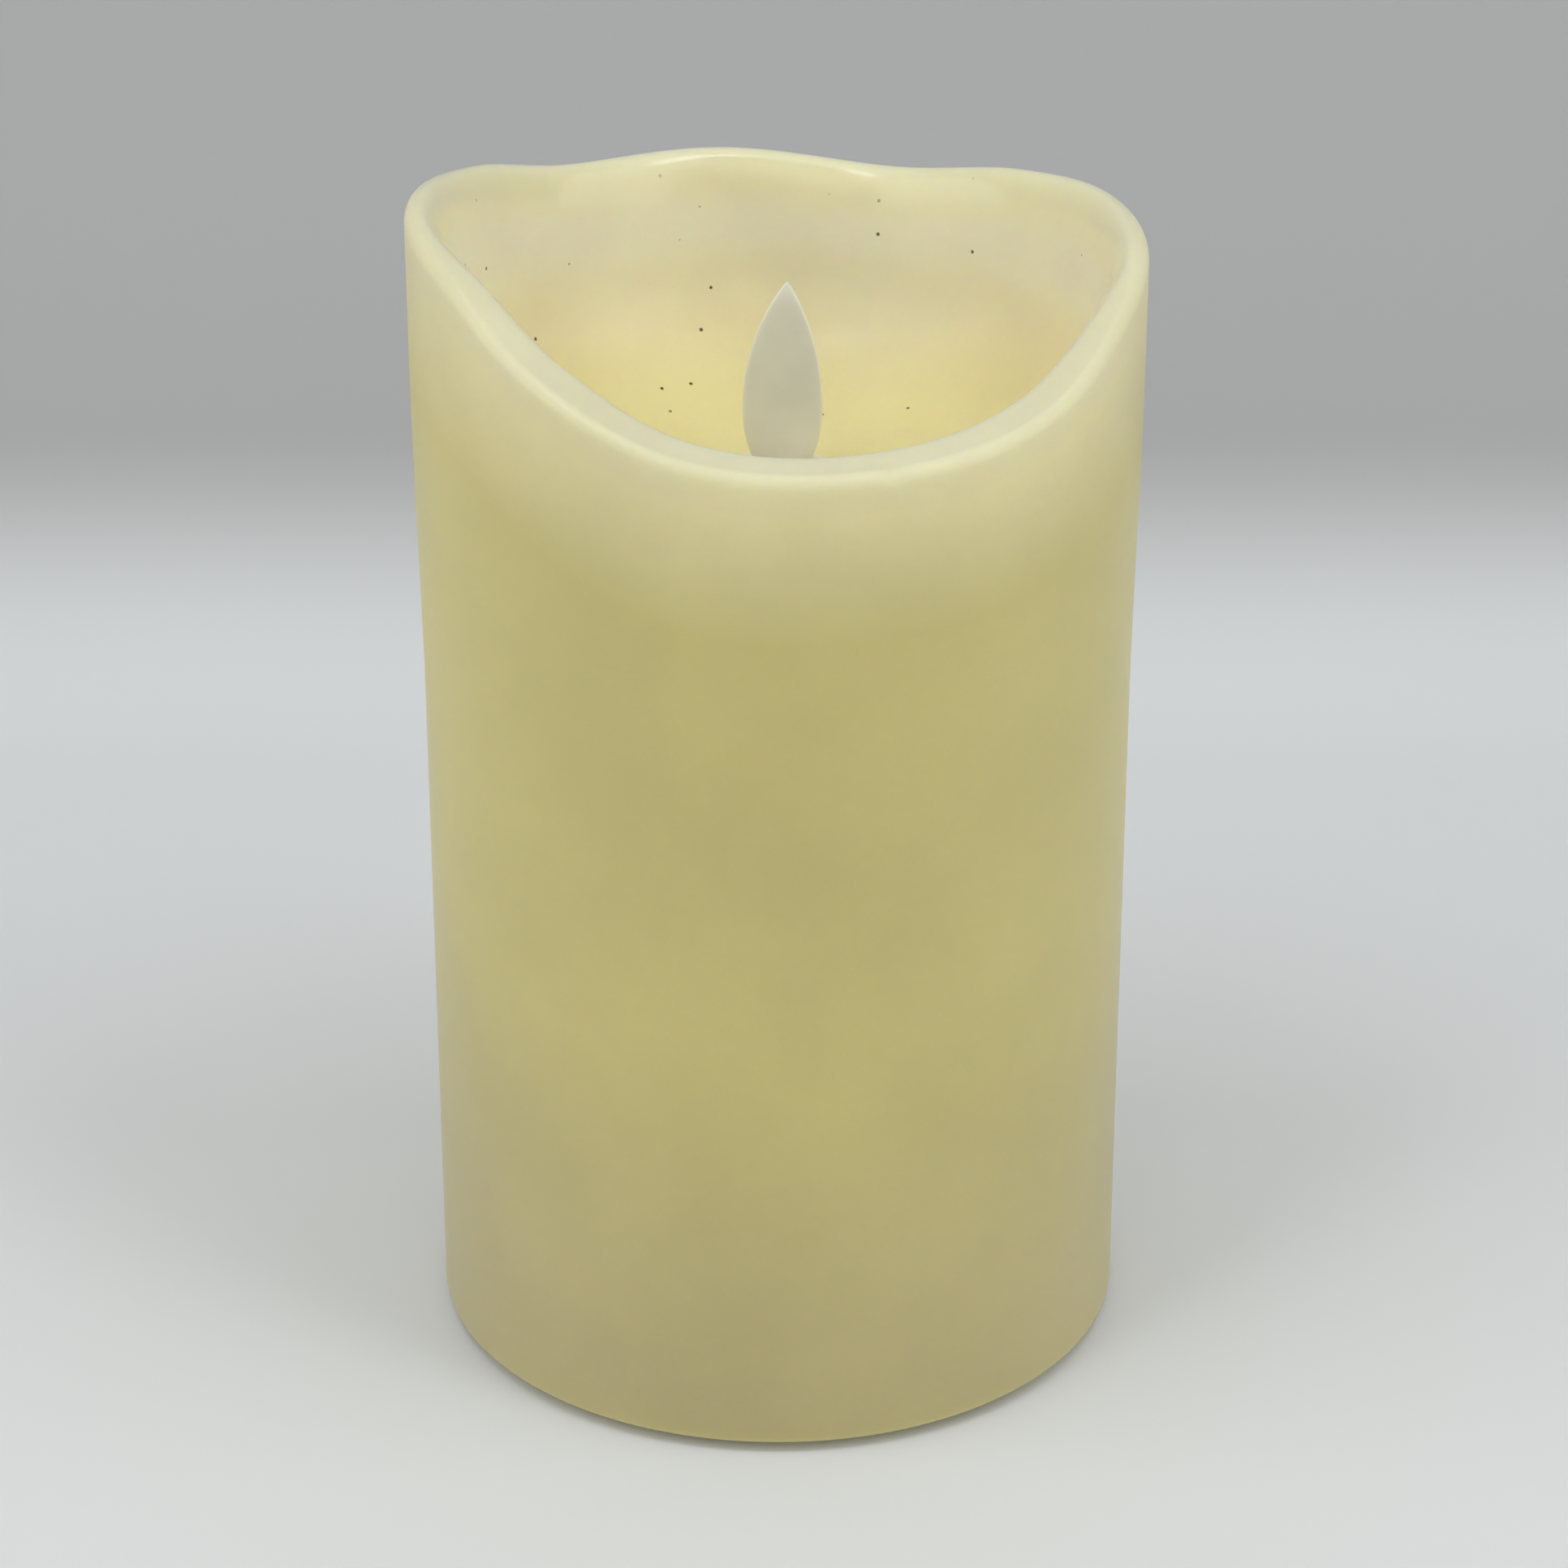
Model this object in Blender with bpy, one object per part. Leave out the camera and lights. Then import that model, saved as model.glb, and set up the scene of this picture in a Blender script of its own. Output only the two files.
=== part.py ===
"""A flameless LED pillar candle with a swinging flame leaf, built as an assembly.

A poured wax shell stands on a plastic base that holds two AA cells, a slide switch and a
circuit board. A two-part core rises from the base to the pool in the candle's top. It holds a
coil, an LED and a thin wire on which the flame leaf swings, moved by the magnet on its tail.

Frame: metres, +Z up, origin at the centre of the foot that the candle stands on. The rim's
low side faces -Y, the side from which the candle is looked at. +X is to the right.
"""

import math

import bmesh
import bpy
from mathutils import Vector

MM = 0.001

# Overall sizes
BODY_RADIUS = 38.0 * MM  # outside of the wax below its flared top
CANDLE_HEIGHT = 128.5 * MM  # foot to the highest point of the rim
TOP_FLARE = 0.5 * MM  # how far the rim stands outside the body

# Wax shell
WAX_WALL = 4.7 * MM
FOOT_HEIGHT = 0.9 * MM  # plastic foot that shows under the wax
WAX_BOTTOM_EDGE = 0.5 * MM
POOL_DEPTH = 31.3 * MM  # highest rim point down to the floor of the melted-look pool
POOL_FLOOR = 5.2 * MM  # thickness of that floor
POOL_FILLET = 12.0 * MM  # the pool's floor runs up into its wall like a bowl
RIM_OUTER_ROUND = 1.7 * MM
RIM_INNER_ROUND = 2.4 * MM
FLARE_START = 0.55  # share of the height at which the flare begins
# The rim's crest runs through these points: degrees from +X towards +Y, drop from the highest.
RIM_CREST = [
    (-105, 14.7 * MM), (-75, 15.9 * MM), (-45, 13.4 * MM), (-15, 5.7 * MM), (20, 3.4 * MM),
    (45, 4.9 * MM), (70, 7.3 * MM), (100, 5.6 * MM), (128, 5.3 * MM), (150, 2.1 * MM),
    (178, 0.0 * MM), (208, 2.0 * MM), (231, 9.0 * MM),
]
LOWEST_DROP = max(drop for _, drop in RIM_CREST)

# Fits
GAP = 0.3 * MM  # between pieces that rest on each other
ROOT = 0.6 * MM  # how deep a boss or wall is sunk into what it grows from
FINE_GAP = 0.15 * MM  # between small pieces, and round a screw
WELD = 0.001 * MM

# Batteries, standard AA
CELL_RADIUS = 7.05 * MM
CELL_LENGTH = 50.5 * MM
CELL_NUB_RADIUS = 2.75 * MM
CELL_NUB = 1.2 * MM
CONTACT_THICKNESS = 0.4 * MM
CONTACT_LIFT = 1.0 * MM  # contact plates above the door's hooks
CONTACT_INSET = 1.65 * MM  # plates inside the cell's outline at the sides
CONTACT_TOP_INSET = 0.85 * MM
SPRING_LENGTH = 2.2 * MM
SPRING_WIRE = 0.25 * MM
SPRING_TURNS = 3

# Base
BASE_WALL = 1.4 * MM
PLATE_THICKNESS = 1.8 * MM
PLATE_RECESS = 1.0 * MM  # bottom plate above the table
FOOT_WIDTH = 3.0 * MM
FOOT_INSET = 2.5 * MM  # foot inside the wax's outer edge
CUP_HEIGHT = 22.0 * MM
BAY_WALL = 1.1 * MM
DOOR_THICKNESS = 1.5 * MM
DOOR_LEDGE = 0.3 * MM  # bay past the door opening at each end
HOOK_REACH = 1.2 * MM
HOOK_WIDTH = 3.2 * MM
HOOK_THICKNESS = 0.9 * MM

# Core, coil and flame
CORE_RADIUS = 14.0 * MM
CORE_WALL = 1.4 * MM
COLLAR_RADIUS = 7.5 * MM  # ring that shows round the flame in the pool
COLLAR_WALL = 1.3 * MM
COLLAR_STAND = 0.8 * MM  # above the pool's floor
COLLAR_LENGTH = 9.0 * MM
SHOULDER = 7.0 * MM  # cone between core and collar
PIVOT_DROP = 7.3 * MM  # collar's top down to the pivot wire
PIVOT_X = 0.5 * MM  # the flame hangs a little to the right of the middle
PIVOT_WIRE = 0.35 * MM
PIVOT_HOLE = 0.75 * MM
MAGNET_DROP = 22.6 * MM  # pivot down to the middle of the magnet
MAGNET_RADIUS = 2.5 * MM
MAGNET_LENGTH = 3.0 * MM
MAGNET_AIR = 3.6 * MM  # magnet to coil
FLAME_RISE = 28.8 * MM  # pivot up to the tip
FLAME_HALF_WIDTH = 4.27 * MM
FLAME_WIDEST = 13.9 * MM  # tip down to the widest point
FLAME_LOWER = 8.4 * MM
FLAME_NECK = 2.4 * MM
FLAME_TIP_SHIFT = 0.5 * MM  # the tip bends to the right
FLAME_THICKNESS = 1.3 * MM
TAIL_HALF_WIDTH = 1.6 * MM
PIVOT_EYE = 3.0 * MM
COIL_RADIUS = 6.6 * MM
COIL_HEIGHT = 9.5 * MM
COIL_BORE = 1.6 * MM
LED_RADIUS = 2.5 * MM
LED_LENGTH = 8.6 * MM
LED_TILT = math.radians(20)
LED_OFFSET = 9.0 * MM  # back from the core's axis, at the LED's foot
LED_DROP = 5.4 * MM  # its foot below the shoulder
EAR_REACH = 2.2 * MM  # middle of the ears that join the halves, outside the core
EAR_DEPTH = 4.0 * MM
LEAD_HOLE_Y = 10.0 * MM
LEAD_HOLE_RADIUS = 2.3 * MM

# Legs, screws, board and switch
LEG_X = 14.0 * MM
LEG_Y = 23.0 * MM
LEG_RADIUS = 3.2 * MM
LEG_FOOT = 8.5 * MM
SCREW_SHANK = 1.25 * MM
SCREW_HEAD = 2.4 * MM
SCREW_HEAD_HEIGHT = 1.7 * MM
SCREW_LEDGE = 1.2 * MM  # heads of the base screws above the plate
BASE_SCREW_LENGTH = 9.0 * MM
CORE_SCREW_LENGTH = 6.2 * MM
BOARD_SCREW_LENGTH = 5.0 * MM
BOARD_LENGTH = 31.0 * MM
BOARD_WIDTH = 22.0 * MM
BOARD_THICKNESS = 1.6 * MM
BOARD_STAND = 4.6 * MM
BOARD_SCREW_X = 12.4 * MM
BOARD_POST_RADIUS = 2.4 * MM
FLANGE_THICKNESS = 2.0 * MM
BOARD_HEADROOM = 14.0 * MM
SWITCH_Y = 23.4 * MM
SWITCH_SIZE = Vector((12.4, 5.6, 4.4)) * MM
SWITCH_TRAVEL = 4.0 * MM
KNOB_SIZE = Vector((3.0, 2.6, 3.4)) * MM
LEAD_RADIUS = 0.55 * MM
COIL_LEAD_RADIUS = 0.25 * MM

# How finely round pieces are faceted
SHELL_SIDES = 60
BASE_SIDES = 48
ROUND_SIDES = 32
SMALL_SIDES = 12
SHARP_EDGE = math.radians(35)

# Sizes that follow from those above
WAX_BOTTOM = FOOT_HEIGHT + GAP
CAVITY_RADIUS = BODY_RADIUS - WAX_WALL
CUP_RADIUS = CAVITY_RADIUS - GAP
PLATE_TOP = PLATE_RECESS + PLATE_THICKNESS
FOOT_RADIUS = BODY_RADIUS - FOOT_INSET
FLOOR_Z = CANDLE_HEIGHT - POOL_DEPTH
COLLAR_TOP = FLOOR_Z + COLLAR_STAND
PIVOT_Z = COLLAR_TOP - PIVOT_DROP
CELL_Y = CELL_RADIUS + 0.2 * MM
CELL_Z = PLATE_TOP + 0.35 * MM + CELL_RADIUS
BAY_HALF_LENGTH = (CELL_LENGTH + SPRING_LENGTH) / 2 + CONTACT_THICKNESS + 0.55 * MM
BAY_HALF_WIDTH = CELL_Y + CELL_RADIUS + 0.2 * MM
BAY_ROOF = CELL_Z + CELL_RADIUS + 0.65 * MM
ROOF_TOP = BAY_ROOF + 1.2 * MM
DOOR_HALF_LENGTH = BAY_HALF_LENGTH - DOOR_LEDGE
DOOR_HALF_WIDTH = BAY_HALF_WIDTH - DOOR_LEDGE
DOOR_Z = PLATE_RECESS + 0.2 * MM
CONTACT_X = BAY_HALF_LENGTH - 0.1 * MM - CONTACT_THICKNESS / 2
HOOK_Y = DOOR_HALF_WIDTH - HOOK_WIDTH / 2 - 0.6 * MM
BOARD_Z = ROOF_TOP + BOARD_STAND
FLANGE_Z = BOARD_Z + BOARD_THICKNESS + BOARD_HEADROOM
COIL_TOP = PIVOT_Z - MAGNET_DROP - MAGNET_LENGTH / 2 - MAGNET_AIR
SHELF_Z = COIL_TOP - COIL_HEIGHT - GAP
SHELF_THICKNESS = 1.4 * MM
CORE_TOP = COLLAR_TOP - COLLAR_LENGTH
LED_FOOT_Z = CORE_TOP - SHOULDER - LED_DROP
SCREW_SEAT = PLATE_TOP + SCREW_LEDGE
EAR_X = CORE_RADIUS + EAR_REACH
EAR_Z = (SHELF_Z + CORE_TOP - SHOULDER) / 2


def finish(name, colour, roughness, metallic=0.0):
    """A plain Principled material."""
    material = bpy.data.materials.new(name)
    material.use_nodes = True
    shader = material.node_tree.nodes["Principled BSDF"]
    shader.inputs["Base Color"].default_value = (*colour, 1.0)
    shader.inputs["Roughness"].default_value = roughness
    shader.inputs["Metallic"].default_value = metallic
    material.diffuse_color = (*colour, 1.0)
    return material


def placed(name, mesh, material, at=(0, 0, 0), turn=(0, 0, 0)):
    """Links an object that shows this mesh."""
    obj = bpy.data.objects.new(name, mesh)
    bpy.context.scene.collection.objects.link(obj)
    if not mesh.materials:
        mesh.materials.append(material)
    obj.location = at
    obj.rotation_euler = turn
    return obj


def solid(name, shape, material, at=(0, 0, 0), turn=(0, 0, 0)):
    """Closes a bmesh into an object whose faces point out."""
    bmesh.ops.remove_doubles(shape, verts=shape.verts, dist=WELD)
    bmesh.ops.recalc_face_normals(shape, faces=shape.faces)
    mesh = bpy.data.meshes.new(name)
    shape.to_mesh(mesh)
    shape.free()
    mesh.shade_smooth()
    mesh.set_sharp_from_angle(angle=SHARP_EDGE)
    return placed(name, mesh, material, at, turn)


def turned(name, outline, material, sides=ROUND_SIDES, at=(0, 0, 0), turn=(0, 0, 0), reshape=None):
    """Spins (radius, height) points round Z. An outline that never meets the axis is a ring."""
    shape = bmesh.new()
    points = [shape.verts.new((radius, 0, height)) for radius, height in outline]
    pairs = list(zip(points, points[1:]))
    if all(radius > 0 for radius, _ in outline):
        pairs.append((points[-1], points[0]))
    edges = [shape.edges.new(pair) for pair in pairs]
    bmesh.ops.spin(
        shape, geom=points + edges, cent=(0, 0, 0), axis=(0, 0, 1), angle=math.tau, steps=sides,
        use_merge=True,
    )
    if reshape:
        for vertex in shape.verts:
            vertex.co = reshape(vertex.co)
    return solid(name, shape, material, at, turn)


def rod(name, radius, length, material, at=(0, 0, 0), turn=(0, 0, 0), sides=SMALL_SIDES):
    """A cylinder that stands on its origin."""
    outline = [(0, 0), (radius, 0), (radius, length), (0, length)]
    return turned(name, outline, material, sides, at, turn)


def block(name, size, material, at=(0, 0, 0), edge=0.0, turn=(0, 0, 0)):
    """A box about its origin, with its edges bevelled where edge is given."""
    shape = bmesh.new()
    bmesh.ops.create_cube(shape, size=1.0)
    bmesh.ops.scale(shape, vec=size, verts=shape.verts)
    if edge:
        bmesh.ops.bevel(shape, geom=shape.edges[:], offset=edge, segments=1, affect="EDGES")
    return solid(name, shape, material, at, turn)


def span(name, low, high, material, edge=0.0):
    """A box given by its lowest and highest corners."""
    low, high = Vector(low), Vector(high)
    return block(name, high - low, material, (low + high) / 2, edge)


def extruded(name, outline, depth, material, at=(0, 0, 0), edge=0.0):
    """A flat XZ outline given thickness along Y, about y = 0."""
    shape = bmesh.new()
    face = shape.faces.new([shape.verts.new((x, -depth / 2, z)) for x, z in outline])
    grown = bmesh.ops.extrude_face_region(shape, geom=[face])["geom"]
    raised = [item for item in grown if isinstance(item, bmesh.types.BMVert)]
    bmesh.ops.translate(shape, vec=(0, depth, 0), verts=raised)
    if edge:
        rims = [e for e in shape.edges if abs(e.verts[0].co.y - e.verts[1].co.y) < WELD]
        bmesh.ops.bevel(shape, geom=rims, offset=edge, segments=1, affect="EDGES")
    return solid(name, shape, material, at)


def combine(piece, other, operation):
    """Joins or cuts piece with other by an exact Boolean, and drops other."""
    modifier = piece.modifiers.new("boolean", "BOOLEAN")
    modifier.operation = operation
    modifier.solver = "EXACT"
    modifier.object = other
    bpy.context.view_layer.update()
    graph = bpy.context.evaluated_depsgraph_get()
    mesh = bpy.data.meshes.new_from_object(piece.evaluated_get(graph))
    mesh.name = piece.name
    piece.modifiers.clear()
    piece.data = mesh
    bpy.data.objects.remove(other)
    return piece


def joined(piece, *others):
    for other in others:
        combine(piece, other, "UNION")
    return piece


def cut(piece, *others):
    for other in others:
        combine(piece, other, "DIFFERENCE")
    return piece


def smooth_route(points, steps=3):
    """Points along a Catmull-Rom curve through the given ones."""
    points = [Vector(point) for point in points]
    ends = [2 * points[0] - points[1], *points, 2 * points[-1] - points[-2]]
    route = []
    for p0, p1, p2, p3 in zip(ends, ends[1:], ends[2:], ends[3:]):
        for step in range(steps):
            t = step / steps
            bend = (2 * p0 - 5 * p1 + 4 * p2 - p3) * t * t + (3 * p1 - p0 - 3 * p2 + p3) * t**3
            route.append((2 * p1 + (p2 - p0) * t + bend) / 2)
    return [*route, points[-1]]


def tube(name, route, radius, material, resolution=1, at=(0, 0, 0)):
    """A round bar along a route, with filled ends."""
    curve = bpy.data.curves.new(name, "CURVE")
    curve.dimensions = "3D"
    spline = curve.splines.new("POLY")
    spline.points.add(len(route) - 1)
    for point, place in zip(spline.points, route):
        point.co = (*place, 1.0)
    curve.bevel_depth = radius
    curve.bevel_resolution = resolution
    curve.use_fill_caps = True
    obj = bpy.data.objects.new(name, curve)
    bpy.context.scene.collection.objects.link(obj)
    curve.materials.append(material)
    obj.location = at
    return obj


def lead(name, points, material, radius=LEAD_RADIUS):
    """A flexible wire through points given in millimetres."""
    return tube(name, smooth_route([Vector(point) * MM for point in points]), radius, material, 2)


def crest_drop(angle):
    """How far the rim lies below its highest point: a smooth closed curve through its stations."""
    degrees = math.degrees(angle)
    stations = [(place + 360 * lap, drop) for lap in (-1, 0, 1) for place, drop in RIM_CREST]
    last = max(number for number, (place, _) in enumerate(stations) if place <= degrees)
    (a0, d0), (a1, d1), (a2, d2), (a3, d3) = stations[last - 1 : last + 3]
    s = (degrees - a1) / (a2 - a1)
    leave = (d2 - d0) / (a2 - a0) * (a2 - a1)
    arrive = (d3 - d1) / (a3 - a1) * (a2 - a1)
    start = (d1 * (1 + 2 * s) + leave * s) * (1 - s) ** 2
    return start + (d2 * (3 - 2 * s) - arrive * (1 - s)) * s**2


def arc(centre_radius, centre_height, radius, start, end, steps):
    """Points of an arc in the turned outline, angles in degrees from outwards to upwards."""
    angles = [math.radians(start + (end - start) * step / steps) for step in range(steps + 1)]
    return [
        (centre_radius + radius * math.cos(a), centre_height + radius * math.sin(a)) for a in angles
    ]


def wax_shell(wax):
    """The poured wax: a tall wall, open below, with the pool's floor across it near the top."""
    top = CANDLE_HEIGHT
    wavy_from = FLOOR_Z + POOL_FILLET * 0.4
    wavy_to = top - LOWEST_DROP - RIM_INNER_ROUND
    flare_from = top * FLARE_START
    hole = COLLAR_RADIUS + GAP
    inner = CAVITY_RADIUS
    ceiling = FLOOR_Z - POOL_FLOOR
    straight = [top * share for share in (0.3, FLARE_START, 0.7)]
    wavy = [wavy_from + (wavy_to - wavy_from) * share for share in (0, 0.5)]
    outline = [
        (inner, WAX_BOTTOM),
        (BODY_RADIUS - WAX_BOTTOM_EDGE, WAX_BOTTOM),
        (BODY_RADIUS, WAX_BOTTOM + WAX_BOTTOM_EDGE),
        *[(BODY_RADIUS, height) for height in straight + wavy],
        *arc(BODY_RADIUS - RIM_OUTER_ROUND, top - RIM_OUTER_ROUND, RIM_OUTER_ROUND, 0, 90, 3),
        *arc(inner + RIM_INNER_ROUND, top - RIM_INNER_ROUND, RIM_INNER_ROUND, 90, 180, 4),
        *[(inner, height) for height in reversed(wavy[1:])],
        *arc(inner - POOL_FILLET, FLOOR_Z + POOL_FILLET, POOL_FILLET, 0, -90, 4),
        (hole, FLOOR_Z),
        (hole, ceiling),
        (inner - 1.5 * MM, ceiling),
        (inner, ceiling - 1.5 * MM),
        (inner, top * 0.4),
    ]

    def waved(place):
        share = min(max((place.z - wavy_from) / (wavy_to - wavy_from), 0), 1)
        drop = crest_drop(math.atan2(place.y, place.x)) * share
        rise = min(max((place.z - flare_from) / (top - flare_from), 0), 1)
        grow = 1 + TOP_FLARE * rise**2 / BODY_RADIUS
        return Vector((place.x * grow, place.y * grow, place.z - drop))

    return turned("wax_shell", outline, wax, SHELL_SIDES, reshape=waved)


def pan_screw(name, length, steel, at=(0, 0, 0), turn=(0, 0, 0)):
    """A pan-head screw with a cross recess. Its head stands on its origin, its shank points down."""
    head = [(0, SCREW_HEAD_HEIGHT), (SCREW_HEAD * 0.75, SCREW_HEAD_HEIGHT)]
    head += [(SCREW_HEAD, SCREW_HEAD_HEIGHT * 0.55), (SCREW_HEAD, 0), (SCREW_SHANK, 0)]
    point = [(SCREW_SHANK, -length * 0.85), (0, -length)]
    screw = turned(name, head + point, steel, 10)
    slot = Vector((SCREW_HEAD * 1.1, SCREW_HEAD * 0.28, SCREW_HEAD_HEIGHT * 1.2))
    across = Vector((slot.y, slot.x, slot.z))
    for size in (slot, across):
        cut(screw, block("recess", size, steel, (0, 0, SCREW_HEAD_HEIGHT)))
    screw.location = at
    screw.rotation_euler = turn
    return screw


def base_housing(ivory):
    """The base: foot, bottom plate, cup wall, battery bay, screw bosses and board posts."""
    cup_inner = CUP_RADIUS - BASE_WALL
    outline = [
        (0, PLATE_TOP), (cup_inner, PLATE_TOP), (cup_inner, CUP_HEIGHT), (CUP_RADIUS, CUP_HEIGHT),
        (CUP_RADIUS, FOOT_HEIGHT), (FOOT_RADIUS, FOOT_HEIGHT), (FOOT_RADIUS, 0.2 * MM),
        (FOOT_RADIUS - 0.2 * MM, 0), (FOOT_RADIUS - FOOT_WIDTH, 0),
        (FOOT_RADIUS - FOOT_WIDTH, PLATE_RECESS), (0, PLATE_RECESS),
    ]
    base = turned("base_housing", outline, ivory, BASE_SIDES)
    bay = Vector((BAY_HALF_LENGTH, BAY_HALF_WIDTH, 0))
    wall = Vector((BAY_WALL, BAY_WALL, 0))
    joined(base, span("bay", -bay - wall + Vector((0, 0, PLATE_TOP - ROOT)),
                      bay + wall + Vector((0, 0, ROOF_TOP)), ivory))
    for x, y in leg_places():
        joined(base, rod("boss", LEG_RADIUS, LEG_FOOT - GAP - PLATE_TOP + ROOT, ivory,
                         (x, y, PLATE_TOP - ROOT)))
    for side in (-1, 1):
        joined(base, rod("post", BOARD_POST_RADIUS, BOARD_STAND - GAP + ROOT, ivory,
                         (side * BOARD_SCREW_X, 0, ROOF_TOP - ROOT)))
    cut(base, span("bay_space", -bay + Vector((0, 0, PLATE_TOP)), bay + Vector((0, 0, BAY_ROOF)),
                   ivory))
    door = Vector((DOOR_HALF_LENGTH, DOOR_HALF_WIDTH, 0))
    cut(base, span("door_opening", -door - Vector((0, 0, 1 * MM)),
                   door + Vector((0, 0, PLATE_TOP + 1 * MM)), ivory))
    for side in (-1, 1):
        low = (-BAY_HALF_LENGTH - BAY_WALL - 1 * MM, side * HOOK_Y - HOOK_WIDTH / 2 - GAP, PLATE_TOP)
        high = (-DOOR_HALF_LENGTH + 1 * MM, side * HOOK_Y + HOOK_WIDTH / 2 + GAP,
                PLATE_TOP + HOOK_THICKNESS + 2.2 * GAP)
        cut(base, span("hook_window", low, high, ivory))
        cut(base, span("tab_slot", (CONTACT_X - 0.8 * MM, side * CELL_Y - 1.6 * MM, BAY_ROOF - MM),
                       (CONTACT_X + 0.5 * MM, side * CELL_Y + 1.6 * MM, ROOF_TOP + MM), ivory))
        cut(base, rod("pilot", SCREW_SHANK + FINE_GAP, BOARD_STAND, ivory,
                      (side * BOARD_SCREW_X, 0, BOARD_Z - BOARD_STAND + 0.2 * MM), sides=10))
    for x, y in leg_places():
        cut(base, rod("counterbore", SCREW_HEAD + GAP, SCREW_SEAT + MM, ivory, (x, y, -MM)))
        cut(base, rod("clearance", SCREW_SHANK + FINE_GAP, LEG_FOOT + MM, ivory, (x, y, MM)))
    slot = Vector((SWITCH_TRAVEL + KNOB_SIZE.x + 2 * GAP, KNOB_SIZE.y + 2 * GAP, 4 * PLATE_TOP))
    cut(base, block("switch_slot", slot, ivory, (0, SWITCH_Y, 0)))
    thumb = (DOOR_HALF_LENGTH + 0.4 * MM, 0, PLATE_RECESS - 3.4 * MM)
    cut(base, rod("thumb_scoop", 4.4 * MM, 16 * MM, ivory, (thumb[0], 8 * MM, thumb[2]),
                  (math.radians(90), 0, 0), 24))
    return base


def leg_places():
    return [(x, y) for x in (-LEG_X, LEG_X) for y in (-LEG_Y, LEG_Y)]


def battery_door(ivory):
    """The snap-in door. Its origin is the edge that its hooks let it turn about."""
    length = 2 * DOOR_HALF_LENGTH - GAP
    half = DOOR_HALF_WIDTH - GAP
    door = span("battery_door", (GAP, -half, 0), (length, half, DOOR_THICKNESS), ivory)
    hook_low = PLATE_TOP - DOOR_Z + GAP
    for side in (-1, 1):
        near, far = side * HOOK_Y - HOOK_WIDTH / 2, side * HOOK_Y + HOOK_WIDTH / 2
        joined(door,
               span("riser", (0.4 * MM, near, 0.8 * MM), (1.2 * MM, far, hook_low + HOOK_THICKNESS),
                    ivory))
        joined(door,
               span("hook", (-HOOK_REACH, near, hook_low), (0.9 * MM, far, hook_low + HOOK_THICKNESS),
                    ivory))
    for rib in range(4):
        place = length - (3.4 + 1.6 * rib) * MM
        cut(door, span("grip", (place, -6 * MM, -MM), (place + 0.8 * MM, 6 * MM, 0.4 * MM), ivory))
    return moved(door, (-DOOR_HALF_LENGTH, 0, DOOR_Z))


def moved(piece, at):
    """Applies the piece's own placing to its mesh, then puts its origin at the given point."""
    piece.data.transform(piece.matrix_basis)
    piece.rotation_euler = (0, 0, 0)
    piece.location = at
    return piece


def batteries(jacket, steel, nickel):
    """Two AA cells side by side, their ends reversed, with plates and springs at the bay's ends."""
    r, nub = CELL_RADIUS, CELL_NUB_RADIUS
    body = CELL_LENGTH - CELL_NUB
    outline = [(0, 0), (r - 0.7 * MM, 0), (r, 0.5 * MM), (r, body - 0.6 * MM), (r - 0.6 * MM, body),
               (nub, body), (nub, CELL_LENGTH - 0.2 * MM), (nub - 0.3 * MM, CELL_LENGTH),
               (0, CELL_LENGTH)]
    tip = CONTACT_X - CONTACT_THICKNESS / 2 - GAP
    for number, side in ((1, 1), (2, -1)):
        turned(f"battery_cell_{number}", outline, jacket, 28,
               (side * (tip - CELL_LENGTH), side * CELL_Y, CELL_Z), (0, side * math.pi / 2, 0))
    plate_low = PLATE_TOP + GAP + HOOK_THICKNESS + CONTACT_LIFT
    plate_high = CELL_Z + CELL_RADIUS - CONTACT_TOP_INSET
    half = CELL_RADIUS - CONTACT_INSET

    def plate(name, x, low_y, high_y):
        thick = CONTACT_THICKNESS / 2
        return span(name, (x - thick, low_y, plate_low), (x + thick, high_y, plate_high), nickel)

    for name, y in (("contact_positive", CELL_Y), ("contact_negative", -CELL_Y)):
        piece = plate(name, CONTACT_X, y - half, y + half)
        thick = CONTACT_THICKNESS / 2
        tab = span("tab", (CONTACT_X - thick, y - 1.2 * MM, plate_high - MM),
                   (CONTACT_X + thick, y + 1.2 * MM, ROOF_TOP + 1.4 * MM), nickel)
        joined(piece, tab)
    plate("contact_bridge", -CONTACT_X, -CELL_Y - half, CELL_Y + half)
    for name, side in (("spring_bridge", 1), ("spring_negative", -1)):
        start = -side * (CONTACT_X - CONTACT_THICKNESS / 2 - 0.1 * MM - SPRING_WIRE)
        run = side * (SPRING_LENGTH - 0.5 * MM - 2 * SPRING_WIRE)
        steps = 10 * SPRING_TURNS
        route = []
        for step in range(steps + 1):
            share = step / steps
            radius = (3.6 - 1.3 * share) * MM
            angle = math.tau * SPRING_TURNS * share
            route.append((start + run * share, radius * math.cos(angle), radius * math.sin(angle)))
        tube(name, route, SPRING_WIRE, steel, at=(0, side * CELL_Y, CELL_Z))


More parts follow.
